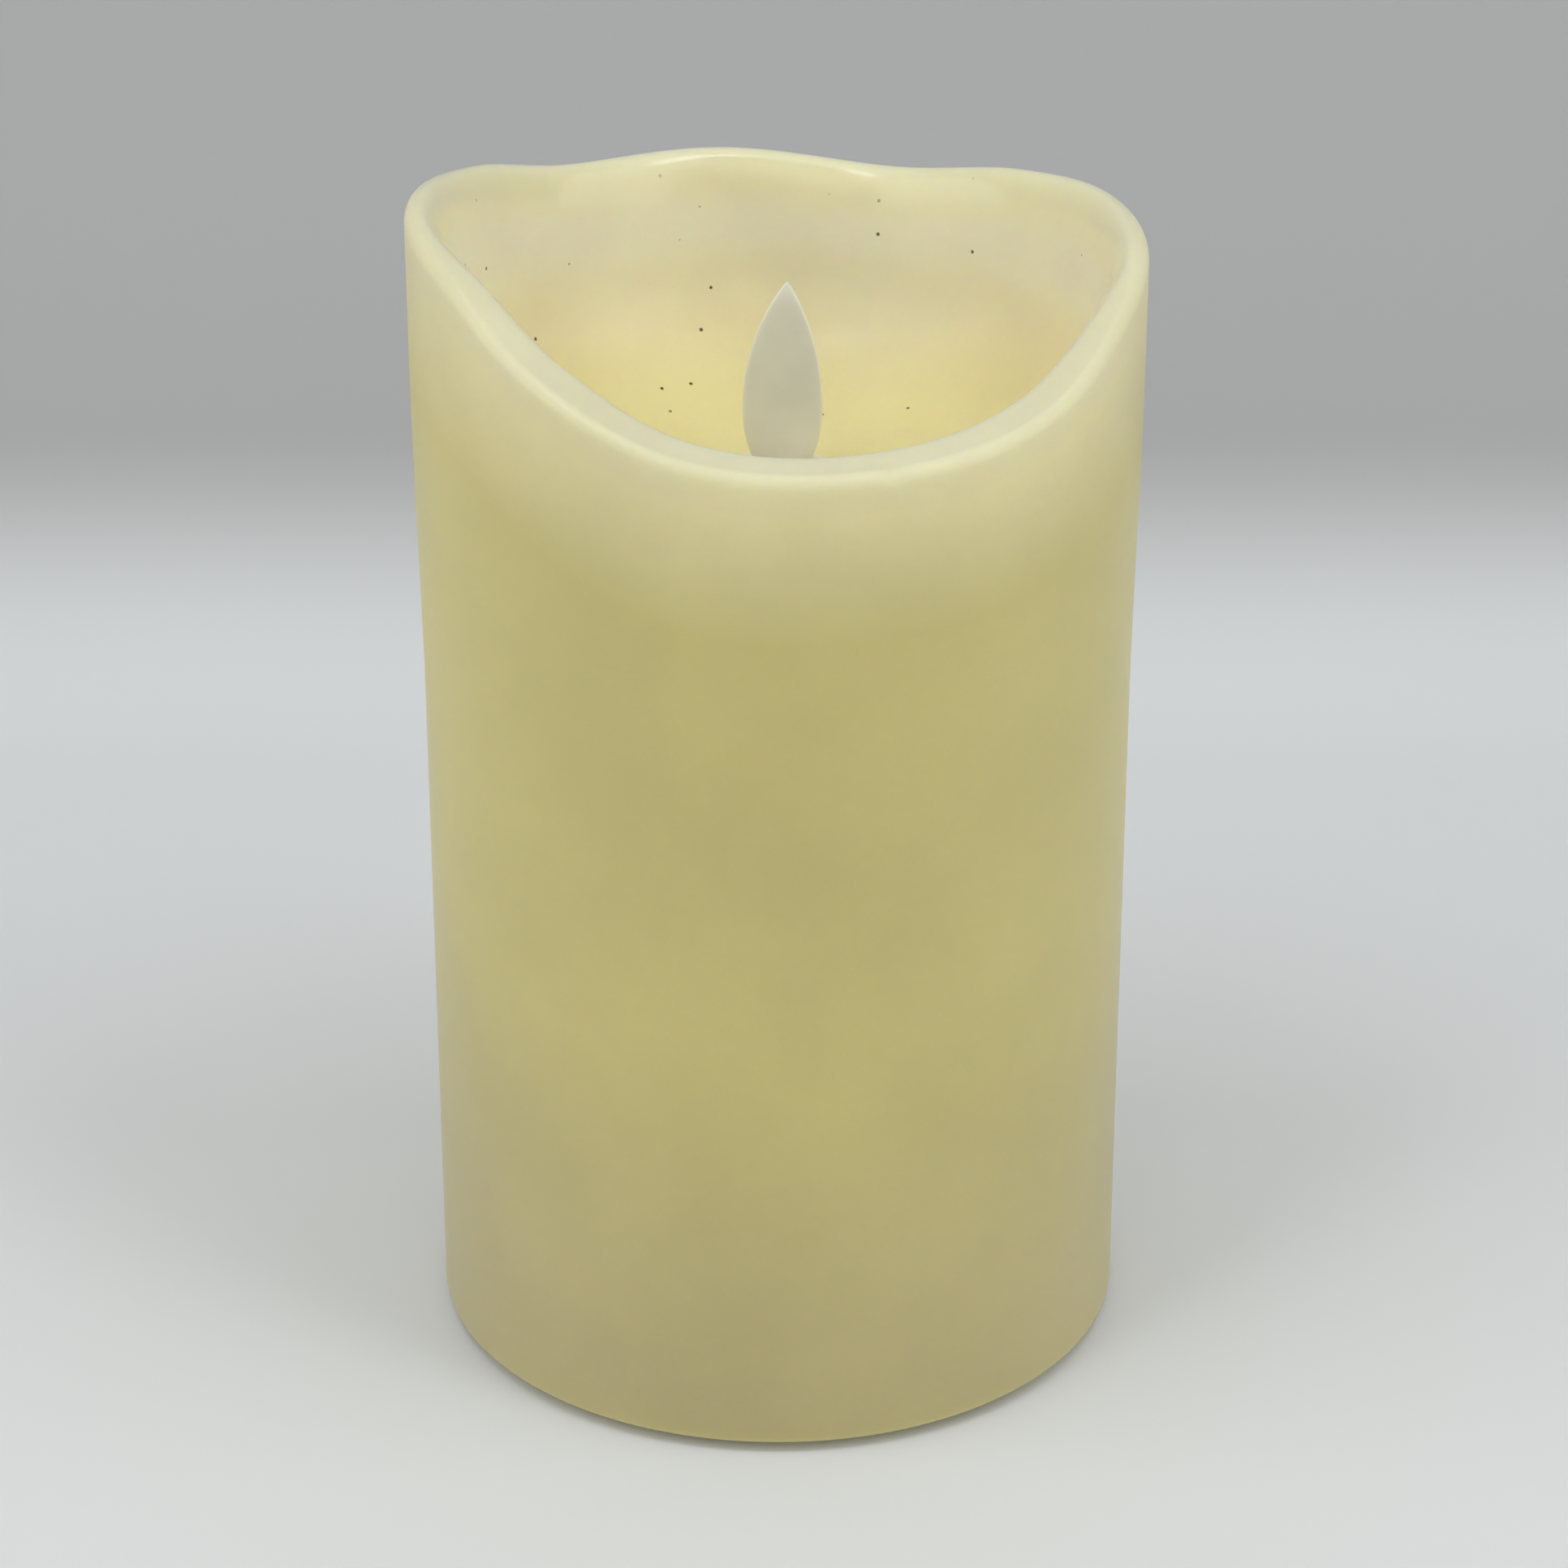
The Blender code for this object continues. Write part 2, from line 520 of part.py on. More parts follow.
def slide_switch(steel, black):
    """A three-position slide switch on the bottom plate, with its knob in the plate's slot."""
    low = PLATE_TOP + GAP
    body = block("switch_body", SWITCH_SIZE, steel, (0, SWITCH_Y, low + SWITCH_SIZE.z / 2), 0.3 * MM)
    room = Vector((SWITCH_TRAVEL + KNOB_SIZE.x + 2 * GAP, KNOB_SIZE.y + 2 * GAP, 5 * MM))
    knob_top = low + 1.6 * MM
    cut(body, block("room", room, steel, (0, SWITCH_Y, knob_top + GAP - room.z / 2)))
    for side in (-1, 1):
        joined(body, rod("terminal", 0.5 * MM, 2.4 * MM, steel,
                         (side * 3.4 * MM, SWITCH_Y, low + SWITCH_SIZE.z - 0.8 * MM), sides=8))
    knob_low = knob_top - KNOB_SIZE.z - 0.8 * MM
    knob = span("switch_knob", (-KNOB_SIZE.x / 2, -KNOB_SIZE.y / 2, 0),
                (KNOB_SIZE.x / 2, KNOB_SIZE.y / 2, knob_top - knob_low), black, 0.25 * MM)
    cut(knob, span("groove", (-0.4 * MM, -2 * MM, -MM), (0.4 * MM, 2 * MM, 0.5 * MM), black))
    return moved(knob, (-SWITCH_TRAVEL / 2, SWITCH_Y, knob_low))


def core_body(name, side, plastic):
    """Half of the core: tube, shoulder, collar, coil shelf and flange, cut at the y = 0 plane."""
    inner = CORE_RADIUS - CORE_WALL
    throat = COLLAR_RADIUS - COLLAR_WALL
    low = FLANGE_Z
    outline = [
        (CORE_RADIUS, low + FLANGE_THICKNESS), (CORE_RADIUS, CORE_TOP - SHOULDER),
        (COLLAR_RADIUS, CORE_TOP), (COLLAR_RADIUS, COLLAR_TOP - 0.3 * MM),
        (COLLAR_RADIUS - 0.3 * MM, COLLAR_TOP), (throat + 0.3 * MM, COLLAR_TOP),
        (throat, COLLAR_TOP - 0.3 * MM), (throat, CORE_TOP - 0.6 * MM),
        (inner, CORE_TOP - SHOULDER - 0.6 * MM), (inner, SHELF_Z), (COIL_BORE + MM, SHELF_Z),
        (COIL_BORE + MM, SHELF_Z - SHELF_THICKNESS), (inner, SHELF_Z - SHELF_THICKNESS),
        (inner, low), (LEG_Y + LEG_RADIUS, low), (LEG_Y + LEG_RADIUS, low + FLANGE_THICKNESS),
    ]
    half = turned(name, outline, plastic, ROUND_SIDES)
    reach = 2 * BODY_RADIUS
    far = CANDLE_HEIGHT
    other_half = [(-reach, -reach, -far), (reach, GAP / 2, 2 * far)]
    if side < 0:
        other_half = [(-reach, -GAP / 2, -far), (reach, reach, 2 * far)]
    ear = Vector((3.2, 0, 3.2)) * MM
    for x in (-EAR_X, EAR_X):
        middle = Vector((x, 0, EAR_Z))
        joined(half, span("ear", middle - ear - Vector((0, EAR_DEPTH, 0)),
                          middle + ear + Vector((0, EAR_DEPTH, 0)), plastic))
    cut(half, span("other_half", *other_half, plastic))
    for x in (-LEG_X, LEG_X):
        leg = rod("leg", LEG_RADIUS, low + ROOT - LEG_FOOT, plastic, (x, side * LEG_Y, LEG_FOOT))
        joined(half, leg)
        cut(half, rod("pilot", SCREW_SHANK + FINE_GAP, BASE_SCREW_LENGTH, plastic,
                      (x, side * LEG_Y, LEG_FOOT - MM)))
    quarter = math.radians(90)
    for x in (-EAR_X, EAR_X):
        cut(half, rod("ear_bore", SCREW_SHANK + FINE_GAP, 2 * CORE_SCREW_LENGTH, plastic,
                      (x, CORE_SCREW_LENGTH, EAR_Z), (quarter, 0, 0)))
    cut(half, rod("wire_seat", PIVOT_WIRE + FINE_GAP, 2 * (COLLAR_RADIUS - 0.3 * MM), plastic,
                  (PIVOT_X, COLLAR_RADIUS - 0.3 * MM, PIVOT_Z), (quarter, 0, 0), 8))
    cut(half, rod("lead_hole", LEAD_HOLE_RADIUS, 2 * SHELF_THICKNESS + 2 * MM, plastic,
                  (0, side * LEAD_HOLE_Y, SHELF_Z - 2 * SHELF_THICKNESS)))
    return half


def led_holder(core_back, plastic):
    """The sloping socket in the core's back half that aims the LED at the flame."""
    turn = (LED_TILT, 0, 0)
    up = Vector((0, -math.sin(LED_TILT), math.cos(LED_TILT)))
    foot = Vector((0, LED_OFFSET, LED_FOOT_Z))
    block_radius = LED_RADIUS + 1.5 * MM
    joined(core_back, rod("socket", block_radius, 3.2 * MM, plastic, foot + up * 1.6 * MM, turn, 20))
    middle = foot + up * 3.2 * MM
    joined(core_back, span("web", (-1.4 * MM, middle.y + LED_RADIUS, middle.z - MM),
                           (1.4 * MM, CORE_RADIUS - CORE_WALL / 2, middle.z + MM), plastic))
    cut(core_back, rod("led_bore", LED_RADIUS + FINE_GAP, 8 * MM, plastic, foot - up * MM, turn, 20))


def led(lens):
    """A round LED with a flange and two legs."""
    r = LED_RADIUS
    body = [(0, 0), (r + 0.4 * MM, 0), (r + 0.4 * MM, 1.1 * MM), (r, 1.2 * MM), (r, LED_LENGTH - r)]
    dome = arc(0, LED_LENGTH - r, r, 15, 75, 3)
    piece = turned("led", [*body, *dome, (0, LED_LENGTH)], lens, 20)
    for side in (-1, 1):
        joined(piece, rod("leg", 0.3 * MM, 4.5 * MM, lens, (side * 1.27 * MM, 0, -4 * MM), sides=8))
    piece.location = (0, LED_OFFSET, LED_FOOT_Z)
    piece.rotation_euler = (LED_TILT, 0, 0)
    return piece


def coil(plastic, copper, steel):
    """Spool, copper winding and iron pin, on the shelf under the magnet."""
    barrel = COIL_BORE + 1.4 * MM
    flange = 0.9 * MM
    bore = COIL_BORE
    spool = [(bore, 0), (COIL_RADIUS, 0), (COIL_RADIUS, flange), (barrel, flange),
             (barrel, COIL_HEIGHT - flange), (COIL_RADIUS, COIL_HEIGHT - flange),
             (COIL_RADIUS, COIL_HEIGHT), (bore, COIL_HEIGHT)]
    at = (0, 0, SHELF_Z + GAP)
    turned("coil_bobbin", spool, plastic, 28, at)
    low, high = flange + FINE_GAP, COIL_HEIGHT - flange - FINE_GAP
    middle = (low + high) / 2
    full = COIL_RADIUS - 0.6 * MM
    winding = [(barrel + FINE_GAP, low), (full - 0.3 * MM, low), (full, middle),
               (full - 0.3 * MM, high), (barrel + FINE_GAP, high)]
    turned("coil_winding", winding, copper, 28, at)
    rod("coil_pin", bore - FINE_GAP, COIL_HEIGHT - 0.6 * MM, steel, at)


def flame_outline():
    """Half the flame leaf's outline, from its tip down to the tail's end, about the pivot."""
    tip = FLAME_RISE
    widest = tip - FLAME_WIDEST
    points = [(0.25 * MM, tip)]
    for step in range(1, 13):
        share = step / 12
        points.append((FLAME_HALF_WIDTH * math.sin(math.pi / 2 * share**0.83), tip - FLAME_WIDEST * share))
    for step in range(1, 6):
        fall = FLAME_LOWER * 0.83 * step / 5
        points.append((FLAME_HALF_WIDTH * math.sqrt(1 - (fall / FLAME_LOWER) ** 2), widest - fall))
    points.append((FLAME_NECK - 0.2 * MM, PIVOT_EYE + 1.5 * MM))
    for degrees in range(50, -60, -20):
        angle = math.radians(degrees)
        points.append((PIVOT_EYE * math.cos(angle), PIVOT_EYE * math.sin(angle)))
    tail_end = -MAGNET_DROP + MAGNET_LENGTH / 2 + FINE_GAP
    points += [(TAIL_HALF_WIDTH, -PIVOT_EYE - MM), (TAIL_HALF_WIDTH, tail_end + 3 * MM),
               (MAGNET_RADIUS, tail_end + 1.6 * MM), (MAGNET_RADIUS, tail_end)]
    return points


def flame(white, magnet):
    """The flame leaf, hung on the pivot wire through its eye, with the magnet under its tail."""
    half = flame_outline()
    both = half + [(-x, z) for x, z in reversed(half)]
    widest = FLAME_RISE - FLAME_WIDEST
    outline = [(x + FLAME_TIP_SHIFT * (max(z - widest, 0) / FLAME_WIDEST) ** 2, z) for x, z in both]
    leaf = extruded("flame_leaf", outline, FLAME_THICKNESS, white, edge=0.3 * MM)
    cut(leaf, rod("eye", PIVOT_HOLE, 4 * FLAME_THICKNESS, white, (0, 2 * FLAME_THICKNESS, 0),
                  (math.radians(90), 0, 0)))
    weight = rod("flame_magnet", MAGNET_RADIUS, MAGNET_LENGTH, magnet,
                 (0, 0, -MAGNET_DROP - MAGNET_LENGTH / 2))
    pivot = bpy.data.objects.new("flame_pivot", None)
    bpy.context.scene.collection.objects.link(pivot)
    pivot.location = (PIVOT_X, 0, PIVOT_Z)
    leaf.parent = weight.parent = pivot


def pivot_wire(steel):
    """The wire that the flame hangs on, held at both ends in the collar's wall."""
    reach = COLLAR_RADIUS - 0.45 * MM
    rod("pivot_wire", PIVOT_WIRE, 2 * reach, steel, (PIVOT_X, reach, PIVOT_Z),
        (math.radians(90), 0, 0), 8)


def circuit_board(green, black, steel, sleeve, coat):
    """The board over the battery bay, with its chip, capacitor, transistor and resistors."""
    board = span("circuit_board", (-BOARD_LENGTH / 2, -BOARD_WIDTH / 2, BOARD_Z),
                 (BOARD_LENGTH / 2, BOARD_WIDTH / 2, BOARD_Z + BOARD_THICKNESS), green)
    for side in (-1, 1):
        cut(board, rod("hole", SCREW_SHANK + FINE_GAP, 4 * BOARD_THICKNESS, green,
                       (side * BOARD_SCREW_X, 0, BOARD_Z - BOARD_THICKNESS)))
    top = BOARD_Z + BOARD_THICKNESS + FINE_GAP
    span("control_chip", (-2.5 * MM, -2 * MM, top), (2.5 * MM, 2 * MM, top + 1.5 * MM), black, 0.2 * MM)
    can = [(0, 0), (2.4 * MM, 0), (2.5 * MM, 0.8 * MM), (2.5 * MM, 6.7 * MM), (2.2 * MM, 7 * MM),
           (0, 7 * MM)]
    turned("capacitor", can, sleeve, 20, (-8 * MM, -6.5 * MM, top))
    for number, x in ((1, 4.5), (2, 8.5)):
        span(f"resistor_{number}", ((x - 1) * MM, -7 * MM, top), ((x + 1) * MM, -5.8 * MM, top + 0.6 * MM),
             coat)
    span("transistor", (5.4 * MM, 3.6 * MM, top), (8.3 * MM, 5 * MM, top + MM), black, 0.15 * MM)
    for number, side in ((1, -1), (2, 1)):
        pan_screw(f"board_screw_{number}", BOARD_SCREW_LENGTH, steel,
                  (side * BOARD_SCREW_X, 0, BOARD_Z + BOARD_THICKNESS + FINE_GAP))


def screws(steel):
    """Four screws up through the base into the core's legs, and two across the core's ears."""
    for number, (x, y) in enumerate(leg_places(), 1):
        pan_screw(f"base_screw_{number}", BASE_SCREW_LENGTH, steel, (x, y, SCREW_SEAT - FINE_GAP),
                  (math.pi, 0, 0))
    for number, x in ((1, -EAR_X), (2, EAR_X)):
        pan_screw(f"core_screw_{number}", CORE_SCREW_LENGTH, steel, (x, EAR_DEPTH + FINE_GAP, EAR_Z),
                  (-math.radians(90), 0, 0))


def leads(red, black, copper):
    """The wires between cells, switch, board, LED and coil, in millimetres."""
    tab_x = CONTACT_X / MM
    tab_z = ROOF_TOP / MM + 2.2
    pad_z = (BOARD_Z + BOARD_THICKNESS) / MM + 0.4
    cell_y = CELL_Y / MM
    wall_y = (BAY_HALF_WIDTH + BAY_WALL) / MM + 1.4
    switch_y = SWITCH_Y / MM
    terminal_z = (PLATE_TOP + SWITCH_SIZE.z) / MM + 2.6
    lead("lead_positive", [(tab_x, cell_y, tab_z), (tab_x - 0.8, cell_y + 2, tab_z + 2),
                           (tab_x - 5, wall_y - 2, tab_z + 2.2), (14, wall_y + 0.2, tab_z - 1),
                           (8, wall_y + 0.6, terminal_z + 5), (3.6, switch_y - 2, terminal_z + 3),
                           (3.4, switch_y, terminal_z)], red)
    lead("lead_switched", [(-3.4, switch_y, terminal_z), (-3.6, switch_y - 2, terminal_z + 3),
                           (-5, wall_y + 0.4, terminal_z + 8), (-7, wall_y - 2, pad_z + 1),
                           (-8, 11.5, pad_z + 3), (-8, 9, pad_z + 2), (-8, 8.4, pad_z)], red)
    lead("lead_negative", [(tab_x, -cell_y, tab_z), (tab_x - 1, -cell_y - 0.4, tab_z + 3),
                           (tab_x - 5.5, -cell_y - 1, pad_z + 3.5), (14.6, -cell_y - 0.6, pad_z + 3),
                           (12.8, -cell_y - 0.2, pad_z + 1.8), (12.5, -cell_y, pad_z)], black)
    leg_x = 1.27
    led_y = (LED_OFFSET + math.sin(LED_TILT) * 4.6 * MM) / MM
    led_z = (LED_FOOT_Z - math.cos(LED_TILT) * 4.6 * MM) / MM
    shelf = SHELF_Z / MM
    hole_y = LEAD_HOLE_Y / MM
    for name, side, material in (("lead_led_plus", 1, red), ("lead_led_minus", -1, black)):
        lead(name, [(side * leg_x, led_y, led_z), (side * leg_x, led_y + 0.1, led_z - 3),
                    (side * leg_x, hole_y + 0.4, shelf + 8), (side * 1.1, hole_y, shelf - 1),
                    (side * 1.4, hole_y - 0.4, shelf - 9), (side * 2.2, 8.5, pad_z + 6),
                    (side * 2.4, 7.8, pad_z)], material)
    outside = COIL_RADIUS / MM
    for name, side in (("coil_lead_start", -1), ("coil_lead_end", 1)):
        lead(name, [(side * 1.0, -outside - 0.6, shelf + 2.4), (side * 1.0, -outside - 1.6, shelf + 1.6),
                    (side * 1.1, -hole_y, shelf - 1), (side * 1.5, -hole_y, shelf - 9),
                    (side * 1.8, -9, pad_z + 5), (side * 1.9, -8.6, pad_z)], copper, COIL_LEAD_RADIUS)


for leftover in list(bpy.data.objects):
    bpy.data.objects.remove(leftover)

WAX = finish("ivory_wax", (0.72, 0.66, 0.42), 0.4)
IVORY = finish("ivory_plastic", (0.74, 0.70, 0.55), 0.5)
CORE = finish("core_plastic", (0.80, 0.78, 0.68), 0.5)
WHITE = finish("flame_white", (0.80, 0.80, 0.76), 0.4)
BLACK = finish("black_plastic", (0.03, 0.03, 0.03), 0.45)
STEEL = finish("zinc_steel", (0.62, 0.62, 0.60), 0.3, 1.0)
NICKEL = finish("nickel_plate", (0.70, 0.68, 0.62), 0.25, 1.0)
MAGNET = finish("magnet_nickel", (0.58, 0.58, 0.58), 0.2, 1.0)
COPPER = finish("enamelled_copper", (0.62, 0.28, 0.12), 0.35, 1.0)
GREEN = finish("board_green", (0.05, 0.22, 0.09), 0.4)
SLEEVE = finish("capacitor_sleeve", (0.05, 0.07, 0.20), 0.35)
RESISTOR = finish("resistor_body", (0.10, 0.09, 0.08), 0.5)
JACKET = finish("battery_jacket", (0.16, 0.18, 0.20), 0.35)
LENS = finish("led_lens", (0.85, 0.84, 0.70), 0.15)
RED_PVC = finish("red_insulation", (0.55, 0.03, 0.03), 0.45)
BLACK_PVC = finish("black_insulation", (0.02, 0.02, 0.02), 0.45)

wax_shell(WAX)
base_housing(IVORY)
battery_door(IVORY)
batteries(JACKET, STEEL, NICKEL)
slide_switch(STEEL, BLACK)
core_body("core_front", -1, CORE)
led_holder(core_body("core_back", 1, CORE), CORE)
led(LENS)
coil(CORE, COPPER, STEEL)
flame(WHITE, MAGNET)
pivot_wire(STEEL)
circuit_board(GREEN, BLACK, STEEL, SLEEVE, RESISTOR)
screws(STEEL)
leads(RED_PVC, BLACK_PVC, COPPER)
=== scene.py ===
"""The look of a flameless LED pillar candle: poured ivory wax round a moulded core and base."""

import bmesh
import bpy
import numpy as np
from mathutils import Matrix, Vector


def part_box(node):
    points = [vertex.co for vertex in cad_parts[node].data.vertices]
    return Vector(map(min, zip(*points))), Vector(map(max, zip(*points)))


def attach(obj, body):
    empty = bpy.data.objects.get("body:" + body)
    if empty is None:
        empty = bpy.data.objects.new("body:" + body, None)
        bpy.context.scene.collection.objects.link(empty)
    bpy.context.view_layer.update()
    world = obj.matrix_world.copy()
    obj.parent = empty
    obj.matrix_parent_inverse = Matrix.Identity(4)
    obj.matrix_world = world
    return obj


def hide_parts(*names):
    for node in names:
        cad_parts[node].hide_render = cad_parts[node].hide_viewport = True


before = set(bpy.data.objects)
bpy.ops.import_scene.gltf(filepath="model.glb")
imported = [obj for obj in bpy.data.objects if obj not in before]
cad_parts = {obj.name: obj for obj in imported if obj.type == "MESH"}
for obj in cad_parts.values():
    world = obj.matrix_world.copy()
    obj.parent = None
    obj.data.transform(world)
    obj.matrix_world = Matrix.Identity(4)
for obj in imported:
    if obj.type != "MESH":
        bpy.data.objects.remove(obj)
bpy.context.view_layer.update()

# Camera and studio. The candle is seen from half a metre and 25 degrees above level, through a
# long lens. It stands on a pale paper sweep, with large soft lights at its left, its right, its
# front and above it.

MM = 0.001
FLOOR_PAPER = (0.81, 0.835, 0.845)
# Painted shade: the grey that the paper is given where it rises.
PAINTED_WALL_SHADE = (0.43, 0.433, 0.434)
PAPER_ROUGHNESS = 0.6
SWEEP_BACK = 0.135
SWEEP_BEND = 0.16
SWEEP_HEIGHT = 1.6
SWEEP_SIDE = 2.5
SHADE_HEIGHT = 22 * MM
SENSOR_WIDTH = 36.0
LENS = 106.77
CAMERA_PLACE = (0.68 * MM, -459.65 * MM, 278.4 * MM)
CAMERA_TILT = np.radians(64.76)
WORLD_TINT = (0.94, 0.97, 1.0)
WORLD_STRENGTH = 0.08
bpy.context.scene.view_settings.view_transform = "Standard"

camera_data = bpy.data.cameras.new("camera")
camera_data.sensor_width = SENSOR_WIDTH
camera_data.lens = LENS
camera_data.clip_start = 0.01
camera = bpy.data.objects.new("camera", camera_data)
camera.location = CAMERA_PLACE
camera.rotation_euler = (CAMERA_TILT, 0, 0)
bpy.context.scene.collection.objects.link(camera)
bpy.context.scene.camera = camera


def grid_mesh(name, points, wrap_u=False, wrap_v=False):
    """An object from an array of shape (u, v, 3), a quad between each four neighbours. A wrapped
    direction joins its last row to its first. Faces point along u crossed with v."""
    rows, columns = points.shape[:2]
    u = np.arange(rows if wrap_u else rows - 1)
    v = np.arange(columns if wrap_v else columns - 1)
    u, v = np.meshgrid(u, v, indexing="ij")
    next_u, next_v = (u + 1) % rows, (v + 1) % columns
    corners = [u * columns + v, next_u * columns + v, next_u * columns + next_v, u * columns + next_v]
    faces = np.stack(corners, axis=-1).reshape(-1, 4)
    mesh = bpy.data.meshes.new(name)
    mesh.from_pydata(points.reshape(-1, 3), [], faces)
    mesh.shade_smooth()
    obj = bpy.data.objects.new(name, mesh)
    bpy.context.scene.collection.objects.link(obj)
    return obj


def plain_material(name, colour, roughness):
    """A material whose Principled shader has one colour and one roughness."""
    material = bpy.data.materials.new(name)
    material.use_nodes = True
    shader = material.node_tree.nodes["Principled BSDF"]
    shader.inputs["Base Color"].default_value = (*colour, 1)
    shader.inputs["Roughness"].default_value = roughness
    return material


# The sweep's section: flat floor, a quarter circle, then upright.
turn = np.linspace(0, np.pi / 2, 48)
wall_y = SWEEP_BACK + SWEEP_BEND
section_y = np.concatenate([[-SWEEP_SIDE], SWEEP_BACK + SWEEP_BEND * np.sin(turn), [wall_y]])
section_z = np.concatenate([[0], SWEEP_BEND * (1 - np.cos(turn)), [SWEEP_HEIGHT]])
across = np.linspace(-SWEEP_SIDE, SWEEP_SIDE, 3)[:, None]
sweep_points = np.stack(np.broadcast_arrays(across, section_y, section_z), axis=-1)
sweep = grid_mesh("sweep", sweep_points)
# The paper is pale on the floor, and painted shade turns it grey as it starts to rise, where less
# light falls on it. It is clear from behind and below, so it doesn't hide the candle there.
paper = plain_material("sweep_paper", FLOOR_PAPER, PAPER_ROUGHNESS)
paper_shader = paper.node_tree.nodes["Principled BSDF"]
paper_place = paper.node_tree.nodes.new("ShaderNodeTexCoord")
paper_height = paper.node_tree.nodes.new("ShaderNodeSeparateXYZ")
paper_fade = paper.node_tree.nodes.new("ShaderNodeMapRange")
paper_painted_shade = paper.node_tree.nodes.new("ShaderNodeMix")
paper_side = paper.node_tree.nodes.new("ShaderNodeNewGeometry")
paper_shown = paper.node_tree.nodes.new("ShaderNodeMath")
paper_fade.interpolation_type = "SMOOTHSTEP"
paper_fade.inputs["From Max"].default_value = SHADE_HEIGHT
paper_painted_shade.data_type = "RGBA"
paper_painted_shade.inputs[6].default_value = (*FLOOR_PAPER, 1)
paper_painted_shade.inputs[7].default_value = (*PAINTED_WALL_SHADE, 1)
paper_shown.operation = "SUBTRACT"
paper_shown.inputs[0].default_value = 1
for source, target in (
    (paper_place.outputs["Object"], paper_height.inputs["Vector"]),
    (paper_height.outputs["Z"], paper_fade.inputs["Value"]),
    (paper_fade.outputs["Result"], paper_painted_shade.inputs["Factor"]),
    (paper_painted_shade.outputs[2], paper_shader.inputs["Base Color"]),
    (paper_side.outputs["Backfacing"], paper_shown.inputs[1]),
    (paper_shown.outputs[0], paper_shader.inputs["Alpha"]),
):
    paper.node_tree.links.new(source, target)
sweep.data.materials.append(paper)


def soft_light(name, place, aim, size, power):
    """A rectangular area light at one point, turned to face another, with its power in watts."""
    light = bpy.data.lights.new(name, "AREA")
    light.shape = "RECTANGLE"
    light.size, light.size_y = size
    light.energy = power
    obj = bpy.data.objects.new(name, light)
    obj.location = place
    away = np.array(aim) - np.array(place)
    flat = np.hypot(away[0], away[1])
    obj.rotation_euler = (np.arctan2(flat, -away[2]), 0, np.arctan2(-away[0], away[1]))
    bpy.context.scene.collection.objects.link(obj)


soft_light("light_left", (-0.75, -0.35, 0.5), (0, 0, 0.07), (0.9, 0.9), 3.6)
soft_light("light_right", (0.75, -0.35, 0.5), (0, 0, 0.07), (0.9, 0.9), 3.4)
soft_light("light_top", (0.0, 0.05, 0.95), (0, 0, 0.08), (1.0, 0.8), 2.4)
soft_light("light_front", (0.0, -0.95, 0.75), (0, 0, 0.08), (0.9, 0.6), 1.6)
# Two smaller lights high in front put a soft gleam on each side of the rim's back.
soft_light("gleam_right", (0.22, -0.19, 0.64), (0, 0.03, 0.12), (0.10, 0.22), 0.36)
soft_light("gleam_left", (-0.16, -0.22, 0.65), (0, 0.03, 0.12), (0.10, 0.22), 0.36)
world = bpy.data.worlds.new("studio")
world.use_nodes = True
background = world.node_tree.nodes["Background"]
background.inputs["Color"].default_value = (*WORLD_TINT, 1)
background.inputs["Strength"].default_value = WORLD_STRENGTH
bpy.context.scene.world = world


# The wax. Ivory paraffin is poured into a tall round mould, and its top is cut and melted by hand
# to a low scoop at the front and soft waves at the back. A floor is left across it near the top,
# with a hole for the core's collar. Below that floor it is hollow for the core and the base.

WAX_RADIUS = 37.98 * MM
WAX_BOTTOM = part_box("wax_shell")[0].z
WAX_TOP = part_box("wax_shell")[1].z
CAVITY_RADIUS = 33.3 * MM
POOL_FLOOR_Z = 97.2 * MM
CEILING_Z = 92.0 * MM
COLLAR_HOLE = 7.8 * MM
INSIDE_RADIUS = 33.35 * MM
FLARE = 0.5 * MM
BOWL_HEIGHT = 13.0 * MM
BOWL_WIDTH = 16.0 * MM
RIM_STATIONS = (-105, -75, -45, -15, 20, 45, 70, 100, 128, 150, 178, 208, 231)
RIM_DROPS = np.array((14.7, 15.9, 13.4, 5.7, 3.4, 4.9, 7.3, 5.6, 5.3, 2.1, 0.0, 2.0, 9.0)) * MM
BACK_DROP = 0.3 * MM
CREST_RIPPLE = 0.05 * MM
EDGE_ROUND = 0.55 * MM
FRONT_ROLL = 2.6 * MM
FRONT_LIFT = 0.8 * MM
ROLL_UNEVEN = 0.35 * MM
NICK_ANGLE = np.radians(-72.5)
NICK_DEPTH = 0.35 * MM
NICK_HALF_WIDTH = 0.022
COLLAR_LIP = 0.7 * MM
COLLAR_LIP_DEPTH = 0.4 * MM
CEILING_CORNER = 1.5 * MM
POUR_SWELL = 0.035 * MM
MELT_SWELL = 0.05 * MM
MELT_WAVE = 4.1 * MM
AROUND = 480


def closed_curve(angles, stations, values):
    """A smooth closed curve through values at stations in degrees: between two stations a cubic
    whose slope at each is that of the line joining the station's two neighbours."""
    places = np.concatenate([np.array(stations) + lap * 360.0 for lap in (-1, 0, 1)])
    heights = np.tile(values, 3)
    degrees = (np.degrees(angles) - stations[0]) % 360 + stations[0]
    last = np.searchsorted(places, degrees, side="right") - 1
    a0, a1, a2, a3 = (places[last + step] for step in (-1, 0, 1, 2))
    h0, h1, h2, h3 = (heights[last + step] for step in (-1, 0, 1, 2))
    s = (degrees - a1) / (a2 - a1)
    leave = (h2 - h0) / (a2 - a0) * (a2 - a1)
    arrive = (h3 - h1) / (a3 - a1) * (a2 - a1)
    start = (h1 * (1 + 2 * s) + leave * s) * (1 - s) ** 2
    return start + (h2 * (3 - 2 * s) - arrive * (1 - s)) * s**2


def eased(low, high, value):
    """Rises from 0 at low to 1 at high, level at both ends."""
    share = np.clip((value - low) / (high - low), 0, 1)
    return share * share * (3 - 2 * share)


